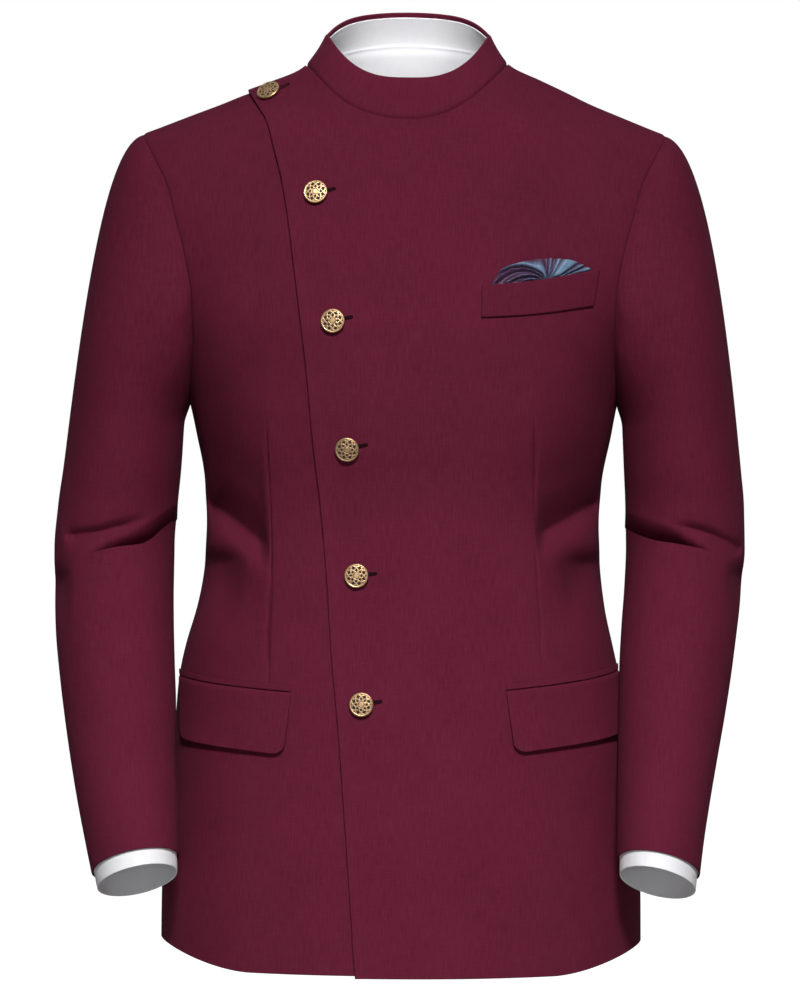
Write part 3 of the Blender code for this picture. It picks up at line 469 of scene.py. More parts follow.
def cloth_piece(name, points, normals, thickness, borders, material, cut=None, closed=False):
    """A closed wall of cloth from a grid of points on its outer face, with its cut in metres as UV.
    Borders, lower, upper, first and last, are each a seam, which sinks in, a deep one, an edge,
    which is rounded, or plain. A closed piece's last column lies on its first."""
    distances = border_distances(points)
    outer_drop = np.zeros(points.shape[:2])
    inner_drop = np.zeros(points.shape[:2])
    for border, distance in zip(borders.split(), distances):
        if border in SEAMS:
            sink, reach = SEAMS[border]
            outer_drop = np.maximum(outer_drop, sink * fade(distance, reach))
        if border == "edge":
            radius = EDGE_ROUNDING * thickness
            past = np.clip(1.0 - distance / radius, 0.0, 1.0)
            round_off = radius * (1.0 - np.sqrt(1.0 - past * past))
            outer_drop = np.maximum(outer_drop, round_off)
            inner_drop = np.maximum(inner_drop, round_off)
    outer = points - normals * outer_drop[..., None]
    inner = points - normals * (thickness - inner_drop)[..., None]
    rows, columns = points.shape[:2]
    index = np.arange(rows * columns).reshape(rows, columns)
    corners = [index[:-1, :-1], index[:-1, 1:], index[1:, 1:], index[1:, :-1]]
    under = rows * columns
    quads = [np.stack(corners, axis=-1).reshape(-1, 4)]
    quads.append(np.stack(corners[::-1], axis=-1).reshape(-1, 4) + under)
    rims = [(index[0, 1:], index[0, :-1]), (index[-1, :-1], index[-1, 1:])]
    if not closed:
        rims += [(index[:-1, 0], index[1:, 0]), (index[1:, -1], index[:-1, -1])]
    for start, end in rims:
        quads.append(np.stack([start, end, end + under, start + under], axis=-1).reshape(-1, 4))
    quads = np.concatenate(quads)
    middle = rows // 2, columns // 2
    face = quads[middle[0] * (columns - 1) + middle[1]]
    corner = outer.reshape(-1, 3)[face]
    facing = np.cross(corner[1] - corner[0], corner[2] - corner[0])
    if facing @ normals[middle] < 0:
        quads = quads[:, ::-1]
    mesh = bpy.data.meshes.new(name)
    places = np.concatenate([outer.reshape(-1, 3), inner.reshape(-1, 3)])
    mesh.from_pydata(places.tolist(), [], quads.tolist())
    if cut is None:
        middle_lengths = distances[2][len(points) // 2], distances[0][:, points.shape[1] // 2]
        cut = np.stack(np.meshgrid(*middle_lengths), axis=-1)
    flat = np.concatenate([cut.reshape(-1, 2)] * 2)[quads.reshape(-1)]
    layer = mesh.uv_layers.new(name="cloth")
    layer.data.foreach_set("uv", flat.astype(np.float32).reshape(-1))
    if closed:
        shape = bmesh.new()
        shape.from_mesh(mesh)
        bmesh.ops.remove_doubles(shape, verts=shape.verts, dist=0.000002)
        shape.to_mesh(mesh)
        shape.free()
    mesh.shade_smooth()
    mesh.set_sharp_from_angle(angle=math.radians(SHARP_DEGREES))
    mesh.materials.append(material)
    piece = bpy.data.objects.new(name, mesh)
    bpy.context.scene.collection.objects.link(piece)
    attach(piece, "root")
    return piece


def trimmed(points, gap):
    """The grid drawn in by half the seam gap along its four sides."""
    moved = points.copy()
    for axis in (0, 1):
        for outermost, inner in ((0, 1), (-1, -2)):
            place = [slice(None)] * 2
            beside = [slice(None)] * 2
            place[axis], beside[axis] = outermost, inner
            step = points[tuple(beside)] - points[tuple(place)]
            step /= np.maximum(np.linalg.norm(step, axis=-1, keepdims=True), 1e-9)
            moved[tuple(place)] += step * gap / 2
    return moved


def cut_noise(tree, across, along, detail=2.0):
    """Noise on the cloth's own cut, with so many grains to the metre across and along it."""
    cut = add_node(tree, "ShaderNodeUVMap", {"uv_map": "cloth"})
    scaled = add_node(
        tree, "ShaderNodeMapping", Vector=cut.outputs["UV"], Scale=(across, along, 1.0)
    )
    noise = add_node(
        tree, "ShaderNodeTexNoise", {"noise_dimensions": "2D"},
        Vector=scaled.outputs["Vector"], Scale=1.0, Detail=detail, Roughness=0.6,
    )
    return noise.outputs["Fac"]


def math_node(tree, operation, first, second):
    """The result of a sum, product or sine of two values."""
    node = add_node(tree, "ShaderNodeMath", {"operation": operation}, _0=first, _1=second)
    return node.outputs[0]


def two_tones(tree, share, first, second):
    """A colour that goes from the first tone to the second with the share."""
    node = add_node(tree, "ShaderNodeMix", {"data_type": "RGBA"}, Factor=share, A=first, B=second)
    return node.outputs["Result"]


def mapped(tree, value, **limits):
    """A value mapped from one range onto another."""
    return add_node(tree, "ShaderNodeMapRange", Value=value, **limits).outputs["Result"]


def weave_bump(tree, pitch, distance, strength, extra=None):
    """The threads of a plain weave as a bump, with any extra height added."""
    cut = add_node(tree, "ShaderNodeUVMap", {"uv_map": "cloth"})
    axes = add_node(tree, "ShaderNodeSeparateXYZ", Vector=cut.outputs["UV"])
    waves = []
    for axis in ("X", "Y"):
        turned = math_node(tree, "MULTIPLY", axes.outputs[axis], 2 * math.pi / pitch)
        waves.append(math_node(tree, "SINE", turned, 0.0))
    height = math_node(tree, "MULTIPLY", waves[0], waves[1])
    if extra is not None:
        height = math_node(tree, "ADD", height, extra)
    bump = add_node(tree, "ShaderNodeBump", Strength=strength, Distance=distance, Height=height)
    return bump.outputs["Normal"]


wine_cloth, tree, shader = new_material(
    "woven_wine_cloth", Roughness=0.82, Specular_IOR_Level=0.05, Sheen_Weight=0.02,
    Sheen_Roughness=0.4, Sheen_Tint=(1.0, 0.45, 0.55, 1.0),
)
warp_slubs = cut_noise(tree, 900.0, 70.0)
weft_slubs = cut_noise(tree, 70.0, 900.0)
grain = cut_noise(tree, 1300.0, 1300.0, 1.0)
clouds = cut_noise(tree, 14.0, 14.0, 3.0)
slubs = math_node(tree, "ADD", warp_slubs, math_node(tree, "MULTIPLY", weft_slubs, 0.45))
fibres = math_node(tree, "ADD", slubs, math_node(tree, "MULTIPLY", grain, 0.5))
tone = math_node(tree, "ADD", fibres, math_node(tree, "MULTIPLY", clouds, 0.5))
dark_wine, light_wine = (0.098, 0.0098, 0.0268, 1.0), (0.144, 0.0168, 0.0415, 1.0)
wine = two_tones(tree, mapped(tree, tone, From_Min=0.85, From_Max=1.65), dark_wine, light_wine)
tree.links.new(wine, shader.inputs["Base Color"])
tree.links.new(weave_bump(tree, 0.0007, 0.00012, 0.5, slubs), shader.inputs["Normal"])

SEAM_SIDE = (0.002, 0.005, 0.009, 0.015)
# The rows lie closest along the hem's edge, across the waist's folds and at the upper seam
WAIST_LOW, WAIST_HIGH = 7.6, 10.9
BODY_ROWS = np.concatenate([
    (0.0, 0.006, 0.014, 0.026),
    np.linspace(0.048, WAIST_LOW, 42),
    np.linspace(WAIST_LOW, WAIST_HIGH, 74)[1:],
    np.linspace(WAIST_HIGH, SKIRT_ROWS, 9)[1:],
    SKIRT_ROWS + ARMHOLE_ROWS * spread(60, (), (0.003, 0.008))[1:],
])[:, None]
back_turns = grid_between(
    (0.0, NECK_TURN, 90.0),
    (spread(24, (0.004, 0.01, 0.02, 0.04)), spread(52, (), SEAM_SIDE)),
)[None, :]
for side_word, sign in SIDES:
    x, z = body_place(sign * back_turns, BODY_ROWS, BACK)
    points, normals = body_point(x, z, BACK)
    back = cloth_piece(
        f"back_half_{side_word}", trimmed(points, SEAM_GAP), normals, CLOTH,
        "edge deep seam seam", wine_cloth, body_cut(points, BACK),
    )
    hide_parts(f"back_{side_word}")

# The under front
# The wearer's right front, of the same cloth. It runs on under the over front and carries the
# buttons; a waist dart takes it in, and soft hollows form where the waist is held.

# The over front's free edge, from the right shoulder down to the hem
OVERLAP_EDGE = table(
    "height x",
    (-0.006, -0.1345),
    (-0.023, -0.1255),
    (-0.041, -0.1160),
    (-0.066, -0.1079),
    (-0.095, -0.1003),
    (-0.128, -0.0945),
    (-0.174, -0.0885),
    (-0.235, -0.0805),
    (-0.296, -0.0735),
    (-0.377, -0.0651),
    (-0.479, -0.0564),
    (-0.581, -0.0485),
    (-0.662, -0.0426),
    (-0.745, -0.0370),
)
UNDERLAP = 0.075
LAP_FULL, LAP_EASED = 0.082, 0.160
LAP_LIFT = CLOTH + 0.0012
# How far that edge stands up, from how far in, and where below the shoulder it begins to
EDGE_CURL, EDGE_CURL_REACH, EDGE_CURL_TOP, EDGE_CURL_RISES = 0.0016, 0.0060, -0.030, 0.050
LAP_EXTRA_LENGTH = 0.002
# A dart's groove, how far from its line the cloth still dips a little, and how far round the body
# one degree of turn goes there
DART_DEPTH, DART_HALF_WIDTH = 0.0036, 0.0013
DART_DIP, DART_DIP_REACH = 0.0004, 0.006
DEGREE_AT_DART = 0.0026
RIGHT_DART_TOP, RIGHT_DART_END = -0.296, -0.508
RIGHT_DART = table(
    "height x",
    (0.010, -0.1250),
    (-0.200, -0.1122),
    (-0.300, -0.1105),
    (-0.400, -0.1088),
    (-0.500, -0.1071),
    (-0.745, -0.1150),
)
# The deep hollow at the waist, beside the dart: its lower edge, how deep it goes, how far up its
# slope starts, how soon the cloth comes out again below, and how soon it starts and ends
RIGHT_WAIST = (
    ((-0.1760, -0.3540), (-0.1604, -0.3595), (-0.1457, -0.3693), (-0.1293, -0.3816),
     (-0.1154, -0.3920), (-0.1040, -0.3975)), 0.0200, 0.072, 0.0125, 0.30, 0.001,
)
# A dimple: its middle, its reach aside, above and below, and its depth
RIGHT_DIMPLE = (-0.1400, -0.4300, 0.0180, 0.0150, 0.0260, 0.0030)
# A soft ridge: its line, how far out it stands, and its half width
RIGHT_RIDGE = (
    ((-0.1640, -0.3790), (-0.1430, -0.3860), (-0.1270, -0.3990), (-0.1200, -0.4160),
     (-0.1215, -0.4380)), 0.0020, 0.0085,
)


def overlap_x(z):
    """Where the over front's free edge lies at a height."""
    return read(OVERLAP_EDGE, "x", z)


def lap_lift(x, z):
    """The over front lies on the under front, stands up a little along its free edge, and eases
    down to the body further in."""
    inward = x - overlap_x(z)
    below_top = smooth_step((EDGE_CURL_TOP - z) / EDGE_CURL_RISES)
    curl = EDGE_CURL * fade(inward, EDGE_CURL_REACH) * below_top
    return curl + LAP_LIFT * (1.0 - smooth_step((inward - LAP_FULL) / (LAP_EASED - LAP_FULL)))


def turn_for(line_x, row, extra=0.0):
    """The turns at which mesh rows of the front meet a line given as x for each height, found by
    trying closer and closer turns."""
    turn = np.full(np.shape(row), -20.0)
    for _ in range(12):
        x, z = body_place(turn, row, FRONT, extra)
        reach = x / np.sin(np.radians(turn))
        turn = np.degrees(np.arcsin(np.clip(line_x(z) / reach, -1.0, 1.0)))
        turn = np.where(np.abs(turn) < 1e-6, 1e-6, turn)
    return turn


def from_line(across, up, line):
    """How far above a line each place lies, how far away, and the share of the line passed."""
    line = np.array(line)
    lengths = np.linalg.norm(np.diff(line, axis=0), axis=1)
    nearest = np.full(across.shape, np.inf)
    height = np.zeros(across.shape)
    share = np.zeros(across.shape)
    done = 0.0
    for first, last, length in zip(line, line[1:], lengths):
        dx, dz = (last - first) / length
        px, pz = across - first[0], up - first[1]
        along = np.clip(px * dx + pz * dz, 0.0, length)
        ox, oz = px - along * dx, pz - along * dz
        away = np.hypot(ox, oz)
        over = np.sign(oz * dx - ox * dz) * np.sign(dx)
        near = away < nearest
        nearest = np.where(near, away, nearest)
        height = np.where(near, away * over, height)
        share = np.where(near, (done + along) / lengths.sum(), share)
        done += length
    return height, nearest, share


def hollow(across, up, line, depth, slope, below, start, end):
    """How far a hollow moves the cloth: deepest along its lower edge, with a slope above it that
    is steep near the edge and long and gentle further up."""
    height, _, share = from_line(across, up, line)
    ends = smooth_step(share / start) * smooth_step((1.0 - share) / end)
    near, far = (np.maximum(0.0, 1.0 - height / reach) for reach in (0.36 * slope, slope))
    above = 0.55 * near**1.5 + 0.45 * far**1.8
    profile = np.where(height < 0.0, fade(height, below), above)
    return -depth * profile * ends


def dimple(across, up, x, z, aside, above, below, depth):
    """How far a dimple moves the cloth in."""
    reach = np.where(up > z, above, below)
    return -depth * np.exp(-(((across - x) / aside) ** 2) - ((up - z) / reach) ** 2)


def ridge(across, up, line, out, reach):
    """How far a soft ridge moves the cloth out; it runs out at both ends."""
    _, away, share = from_line(across, up, line)
    return out * smooth_step(share / 0.2) * smooth_step((1.0 - share) / 0.4) * fade(away, reach)


def waist_offset(x, z, dart_x, waist, pit, crest):
    """The hollow, dimple and ridge between the dart and the side; they stop at the dart."""
    total = hollow(x, z, *waist) + ridge(x, z, *crest) + dimple(x, z, *pit)
    return total * smooth_step((np.abs(x) - np.abs(dart_x) + 0.001) / 0.010)


def pressed_in(points, normals, offset):
    """Moves cloth straight in or out from the front, less where it turns to the side."""
    facing = smooth_step(-normals[..., 1] / 0.35)
    moved = points.copy()
    moved[..., 1] -= offset * facing
    return moved


def shape_normals(points, normals):
    """The outward directions of a grid of points, on the same side as the given ones."""
    turned = np.cross(np.gradient(points, axis=1), np.gradient(points, axis=0))
    turned /= np.maximum(np.linalg.norm(turned, axis=-1, keepdims=True), 1e-12)
    return np.where((turned * normals).sum(axis=-1, keepdims=True) < 0, -turned, turned)


def dart_offset(turn, dart_turn, z, top, bottom):
    """The sewn line of a dart: a narrow groove in a slight dip, both running out at its ends."""
    away = np.abs(turn - dart_turn) * DEGREE_AT_DART
    ends = smooth_step((top - z) / 0.030) * smooth_step((z - bottom) / 0.020)
    groove = DART_DEPTH * np.maximum(0.0, 1.0 - (away / DART_HALF_WIDTH) ** 2)
    return -ends * (groove + DART_DIP * fade(away, DART_DIP_REACH))


edge_turn = turn_for(overlap_x, np.minimum(BODY_ROWS, TOP_ROW), LAP_EXTRA_LENGTH)
dart_turn = turn_for(lambda z: read(RIGHT_DART, "x", z), BODY_ROWS)
neck_share = NECK_TURN / -float(turn_for(overlap_x, np.array(TOP_ROW), LAP_EXTRA_LENGTH))
tail_turn = turn_for(lambda z: overlap_x(z) + UNDERLAP, BODY_ROWS)
turns = grid_between(
    [k[:, 0] for k in np.broadcast_arrays(
        np.full(BODY_ROWS.shape, -90.0), dart_turn, edge_turn, edge_turn * neck_share, tail_turn
    )],
    (
        spread(46, SEAM_SIDE, (0.004, 0.009, 0.018, 0.04)),
        spread(14, (0.01, 0.022, 0.045, 0.09)),
        spread(8),
        spread(12),
    ),
)
x, z = body_place(turns, BODY_ROWS, FRONT)
dent = dart_offset(turns, dart_turn, z, RIGHT_DART_TOP, RIGHT_DART_END)
points, normals = body_point(x, z, FRONT, dent)
dart_x = read(RIGHT_DART, "x", z)
points = pressed_in(
    points, normals, waist_offset(x, z, dart_x, RIGHT_WAIST, RIGHT_DIMPLE, RIGHT_RIDGE)
)
normals = shape_normals(points, normals)
under_front = cloth_piece(
    "under_front", trimmed(points, SEAM_GAP), normals, CLOTH, "edge deep seam edge", wine_cloth,
    body_cut(points, FRONT),
)
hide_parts("front_right")

# The over front
# The wearer's left front. Its free edge runs from the right shoulder to the hem and is turned in
# and pressed flat; at the shoulder it laps over the seam, and it buttons onto the under front.

# The row just below the shoulder seam, with its angle, and how far past the seam the lap reaches
LAST_ROW = TOP_ROW - 1.0
LAST_ANGLE = 180.0 / ARMHOLE_ROWS
SHOULDER_LAP_ANGLE = 6.0
LEFT_DART_TOP, LEFT_DART_END = -0.288, -0.486
LEFT_DART = table(
    "height x",
    (0.010, 0.1250),
    (-0.200, 0.1030),
    (-0.296, 0.1053),
    (-0.398, 0.1090),
    (-0.484, 0.1143),
    (-0.745, 0.1210),
)
LEFT_WAIST = (
    ((0.1760, -0.3520), (0.1602, -0.3578), (0.1491, -0.3644), (0.1328, -0.3734),
     (0.1164, -0.3816), (0.1030, -0.3870)), 0.0200, 0.072, 0.0125, 0.30, 0.001,
)
LEFT_DIMPLE = (0.1400, -0.4200, 0.0180, 0.0150, 0.0260, 0.0030)
LEFT_RIDGE = (
    ((0.1640, -0.3740), (0.1430, -0.3800), (0.1270, -0.3900), (0.1210, -0.4080),
     (0.1225, -0.4300)), 0.0020, 0.0085,
)
OVER_ROWS = np.concatenate([
    BODY_ROWS[BODY_ROWS < LAST_ROW - 0.1],
    LAST_ROW + np.linspace(0.0, 1.0, 9)[:-1],
    TOP_ROW + spread(7, (), (0.02, 0.06, 0.12)),
])[:, None]
edge_turn = turn_for(overlap_x, np.minimum(OVER_ROWS, TOP_ROW), LAP_EXTRA_LENGTH)
dart_turn = turn_for(lambda z: read(LEFT_DART, "x", z), np.minimum(OVER_ROWS, TOP_ROW))
turns = grid_between(
    [k[:, 0] for k in np.broadcast_arrays(
        edge_turn, edge_turn * neck_share, np.full(OVER_ROWS.shape, 0.0),
        np.full(OVER_ROWS.shape, NECK_TURN), dart_turn, np.full(OVER_ROWS.shape, 90.0),
    )],
    (
        spread(14, (0.004, 0.009, 0.016, 0.025, 0.04, 0.07)),
        spread(22),
        spread(22),
        spread(12, (), (0.006, 0.014, 0.028, 0.06)),
        spread(46, (0.0018, 0.0042, 0.0085, 0.018), SEAM_SIDE),
    ),
)
x, z = body_place(turns, np.minimum(OVER_ROWS, TOP_ROW), FRONT, LAP_EXTRA_LENGTH)
# The rows above the last one turn over the shoulder line where the free edge laps onto the back
past_neck = smooth_step((-turns - NECK_TURN) / 5.0)
below_ridge = SHOULDER_LAP_ANGLE * (1.0 - past_neck)
beyond_ridge = -SHOULDER_LAP_ANGLE * past_neck
angle = np.where(
    OVER_ROWS <= TOP_ROW,
    LAST_ANGLE + (below_ridge - LAST_ANGLE) * (OVER_ROWS - LAST_ROW),
    below_ridge + (beyond_ridge - below_ridge) * (OVER_ROWS - TOP_ROW),
)
x_top, z_top = upper_place(turns, angle, FRONT)
top_rows = OVER_ROWS > LAST_ROW
x, z = np.where(top_rows, x_top, x), np.where(top_rows, z_top, z)
side = np.where(top_rows & (angle < 0.0), BACK, FRONT)
dent = dart_offset(turns, dart_turn, z, LEFT_DART_TOP, LEFT_DART_END)
points, normals = body_point(x, z, side, lap_lift(x, z) + dent)
dart_x = read(LEFT_DART, "x", z)
on_left = x > 0.0
points = pressed_in(
    points, normals,
    on_left * waist_offset(x, z, dart_x, LEFT_WAIST, LEFT_DIMPLE, LEFT_RIDGE),
)
waist_rows = (z < -0.20) & on_left
normals = np.where(waist_rows[..., None], shape_normals(points, normals), normals)
over_front = cloth_piece(
    "over_front", trimmed(points, SEAM_GAP), normals, CLOTH, "edge deep edge seam", wine_cloth,
    body_cut(points, FRONT),
)
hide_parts("front_left")

# The sleeves
# Each is cut as an upper and an under sleeve of the same cloth, joined along a front and a back
# seam, eased into the armhole and bent at the elbow, where the cloth folds.

# The sleeves' rings: where their outer and inner sides lie, how far forward they are, half their
# depth, and the degrees that they tilt down to the outside and lean down to the front
SLEEVE_RINGS = table(
    "height right_out right_in left_out left_in forward half_depth tilt lean",
    (-0.296, 0.2808, 0.1840, 0.2802, 0.1840, 0.000, 0.0660, 0.0, 0.0),
    (-0.330, 0.2851, 0.1862, 0.2838, 0.1856, -0.002, 0.0640, 0.0, 0.0),
    (-0.362, 0.2896, 0.1892, 0.2867, 0.1870, -0.003, 0.0610, 0.5, 1.0),
    (-0.396, 0.2923, 0.1915, 0.2872, 0.1875, 0.001, 0.0585, 1.5, 5.0),
    (-0.430, 0.2920, 0.1915, 0.2844, 0.1858, 0.010, 0.0560, 2.5, 10.0),
    (-0.464, 0.2895, 0.1906, 0.2792, 0.1828, 0.024, 0.0535, 4.0, 14.0),
    (-0.498, 0.2852, 0.1889, 0.2738, 0.1804, 0.039, 0.0515, 5.0, 17.0),
    (-0.532, 0.2800, 0.1870, 0.2676, 0.1792, 0.053, 0.0492, 6.0, 18.5),
    (-0.566, 0.2741, 0.1864, 0.2608, 0.1782, 0.066, 0.0472, 7.5, 19.0),
    (-0.600, 0.2675, 0.1844, 0.2543, 0.1773, 0.078, 0.0455, 9.0, 19.5),
    (-0.634, 0.2600, 0.1822, 0.2486, 0.1764, 0.089, 0.0440, 10.5, 20.0),
    (-0.672, 0.2515, 0.1804, 0.2440, 0.1758, 0.100, 0.0425, 12.5, 20.5),
    (-0.690, 0.2480, 0.1800, 0.2425, 0.1756, 0.105, 0.0420, 13.0, 20.5),
)
SLEEVE_REST, SEAM_TUCK, CAP_SWELL = 0.0050, 0.0004, 0.024
UPPER_ARM, SLEEVE_HEM, ARM_RADIUS = -0.296, -0.6570, 0.052
FRONT_SEAM_TURN, BACK_SEAM_TURN = 135.0, 255.0
# A soft crease at the elbow: from turn, z to turn, z, half width, and how far it moves the cloth
ELBOW_CREASE = (330.0, -0.398, 290.0, -0.408, 0.0140, -0.0030)
# The sharp fold across the elbow: its height at each turn, and the level at which its rows start.
# Between these heights below and above it the rows lie close
FOLD_LEVEL = -0.396
CLOSE_ROWS_BELOW, CLOSE_ROWS_ABOVE = -0.440, -0.340
ELBOW_FOLDS = {
    RIGHT: table(
        "height level",
        (185.0, -0.3745), (160.0, -0.3790), (145.4, -0.3859), (131.3, -0.3952), (119.7, -0.4000),
        (95.0, -0.4034), (66.5, -0.4090), (45.0, -0.4120),
    ),
    LEFT: table(
        "height level",
        (185.0, -0.3800), (165.0, -0.3835), (147.0, -0.3885), (120.5, -0.3952), (100.1, -0.3983),
        (81.0, -0.4015), (63.0, -0.4055), (45.0, -0.4080),
    ),
}
# The turn at which the fold starts and over how many degrees it deepens, then where it has ended
FOLD_START = {RIGHT: (58.0, 66.0), LEFT: (55.0, 61.6)}
FOLD_END, FOLD_ENDS_OVER = 205.0, 30.0
# How deep it is, and how far up its slope reaches, at its start and 90 degrees on
FOLD_DEPTH, FOLD_SLOPE = 0.0190, (0.009, 0.021)
# The soft fold above it: line, depth, slope above, reach below, how soon it starts and ends
UPPER_FOLDS = {
    RIGHT: (((-0.2850, -0.3880), (-0.2540, -0.3842), (-0.2293, -0.3780), (-0.2060, -0.3680)),
            0.0085, 0.0190, 0.0080, 0.15, 0.45),
    LEFT: (((0.2860, -0.3980), (0.2699, -0.3900), (0.2550, -0.3834), (0.2330, -0.3775),
            (0.2180, -0.3760)), 0.0085, 0.0190, 0.0080, 0.10, 0.40),
}
# Where the cloth is pushed in at the point of the elbow: distance out, height, reaches, and depth
ELBOW_DENTS = {
    RIGHT: (0.2720, -0.4280, 0.0150, 0.0130, 0.0270, 0.0170),
    LEFT: (0.2670, -0.4210, 0.0150, 0.0120, 0.0240, 0.0170),
}


def clear_of_body(points):
    """Sleeve cloth that would pass through the body's side rests just off it instead."""
    x, y, z = points[..., 0], points[..., 1], points[..., 2]
    side = np.where(y < 0, FRONT, BACK)
    power = read(BODY_SECTIONS, "roundness", z)
    level = (np.abs(x) / half_width(z)) ** power + (np.abs(y) / depth_at(z, side)) ** power
    reach = np.hypot(x, y)
    needed = reach / level ** (1.0 / power) + SLEEVE_REST
    scale = np.maximum(1.0, needed / reach)
    return np.stack([x * scale, y * scale, z], axis=-1)


def ring_point(arm, z, turn):
    """Points of the sleeve's ring at a height. Turn is 0 at the outer side and 90 at the front."""
    word = "right_" if arm == RIGHT else "left_"
    outer, inner = read(SLEEVE_RINGS, word + "out", z), read(SLEEVE_RINGS, word + "in", z)
    tilt, lean = (np.radians(read(SLEEVE_RINGS, name, z)) for name in ("tilt", "lean"))
    across = (outer - inner) / 2 * np.cos(np.radians(turn))
    through = read(SLEEVE_RINGS, "half_depth", z) * np.sin(np.radians(turn))
    x = arm * ((outer + inner) / 2 + np.cos(tilt) * across)
    y = -read(SLEEVE_RINGS, "forward", z) - np.cos(lean) * through
    z = z - np.sin(tilt) * across + np.sin(lean) * through
    return clear_of_body(np.stack([x, y, z], axis=-1))


def unit(vectors):
    """The same directions with a length of 1."""
    return vectors / np.linalg.norm(vectors, axis=-1, keepdims=True)


def cap_point(arm, turn, share):
    """The sleeve head, from the upper arm's ring at share 0 up to the armhole at share 1. It is a
    smooth curve that leaves the ring upwards and swells out over the armhole's seam."""
    turn, share = np.broadcast_arrays(turn % 360.0, share)
    level = np.full(turn.shape, UPPER_ARM)
    start = ring_point(arm, level, turn)
    below = ring_point(arm, level - 0.010, turn)
    side = np.where(turn <= 180.0, FRONT, BACK)
    x, z = upper_place(arm * 90.0, np.where(turn <= 180.0, turn, 360.0 - turn), side)
    seam, seam_normal = body_point(x, z, side)
    cosine, sine = np.cos(np.radians(turn)), np.sin(np.radians(turn))
    # Away from the armhole's seam: mostly outwards at the shoulder, and down under the arm
    away = unit(np.stack([
        arm * (0.575 + 0.425 * cosine), -0.55 * sine, -(0.60 - 0.40 * cosine)
    ], axis=-1))
    end = seam - seam_normal * SEAMS["seam"][0] - away * SEAM_TUCK
    reach = np.linalg.norm(end - start, axis=-1, keepdims=True)
    rise = unit(start - below) * reach * (0.52 + 0.17 * cosine)[..., None]
    swell = away * np.minimum(CAP_SWELL, 0.30 * reach)
    t = share[..., None]
    return (
        start * (1 - t) ** 3
        + (start + rise) * 3 * t * (1 - t) ** 2
        + (end + swell) * 3 * t * t * (1 - t)
        + end * t**3
    )


def crease_offset(z, turn):
    """How far the soft crease of the elbow moves the sleeve's wall."""
    turn0, z0, turn1, z1, reach, out = ELBOW_CREASE
    place_round = np.radians(turn - turn0) * ARM_RADIUS
    line_round = math.radians(turn1 - turn0) * ARM_RADIUS
    share, across = beside_line(place_round, z - z0, line_round, z1 - z0)
    ends = smooth_step((share + 0.15) / 0.35) * smooth_step((1.15 - share) / 0.40)
    return out * ends * fade(across, reach)


def row_steps(rows):
    """The step from the row below to the row above, at every row."""
    return np.concatenate([rows[1:2] - rows[:1], rows[2:] - rows[:-2], rows[-1:] - rows[-2:-1]])


def sleeve_surface(arm, turns):
    """The sleeve's points and outward directions at these turns, row by row from the hem up."""
    levels = np.concatenate([
        SLEEVE_HEM + (CLOSE_ROWS_BELOW - SLEEVE_HEM) * spread(50, (0.001, 0.0025, 0.0045, 0.008)),
        np.linspace(CLOSE_ROWS_BELOW, FOLD_LEVEL, 36)[1:],
        FOLD_LEVEL + (CLOSE_ROWS_ABOVE - FOLD_LEVEL) * spread(44, (0.009,))[1:],
        np.linspace(CLOSE_ROWS_ABOVE, UPPER_ARM, 13)[1:],
    ])[:, None]
    shares = spread(52, (), (0.002, 0.005, 0.010))[1:, None]

    def fold_shift(turn):
        """How far the rows near the fold are moved up or down to follow it."""
        line = read(ELBOW_FOLDS[arm], "level", turn) - FOLD_LEVEL
        ease = smooth_step((turn - 20.0) / 40.0) * smooth_step((240.0 - turn) / 60.0)
        return line * ease * fade(levels - FOLD_LEVEL, 0.034)

    def lay(turn):
        """The points of every row at these turns."""
        turn = turn[None, :] % 360.0
        low = ring_point(arm, *np.broadcast_arrays(levels + fold_shift(turn), turn))
        return np.concatenate([low, cap_point(arm, turn, shares)])

    points = lay(turns)
    around = lay(turns + 1.0) - lay(turns - 1.0)
    normals = unit(np.cross(around, row_steps(points))) * -arm
    # The upper sleeve's turns run past 360, where the folds' own turns start again from 0
    wide = np.where(turns > 360.0, turns - 360.0, turns)[None, :]
    rings = len(levels)
    points[:rings] += normals[:rings] * crease_offset(levels, wide)[..., None]
    x, z = points[..., 0], points[..., 2]
    at_front = smooth_step((np.sin(np.radians(wide)) + 0.10) / 0.40)
    points = pressed_in(points, normals, hollow(x, z, *UPPER_FOLDS[arm]) * at_front)
    # The sharp fold is pressed in deepest just above its line, and eases out further up
    first, run = FOLD_START[arm]
    ends = smooth_step((wide - first) / run) * smooth_step((FOLD_END - wide) / FOLD_ENDS_OVER)
    slope = FOLD_SLOPE[0] + (FOLD_SLOPE[1] - FOLD_SLOPE[0]) * smooth_step((wide - first) / 90.0)
    above = (levels - FOLD_LEVEL) / slope
    depth = np.where(above > 0.001, np.maximum(0.0, 1.0 - above) ** 1.6, 0.0) * ends * FOLD_DEPTH
    middle_out, level, aside, reach_up, reach_down, press = ELBOW_DENTS[arm]
    out = smooth_step((np.abs(x) - middle_out) / aside)
    reach = np.where(z > level, reach_up, reach_down)
    dent = press * out * fade(z - level, reach)
    dent = dent * smooth_step((np.sin(np.radians(wide)) + 0.40) / 0.40)
    points[..., 1] += dent
    points[:rings, :, 1] += depth
    return points, normals


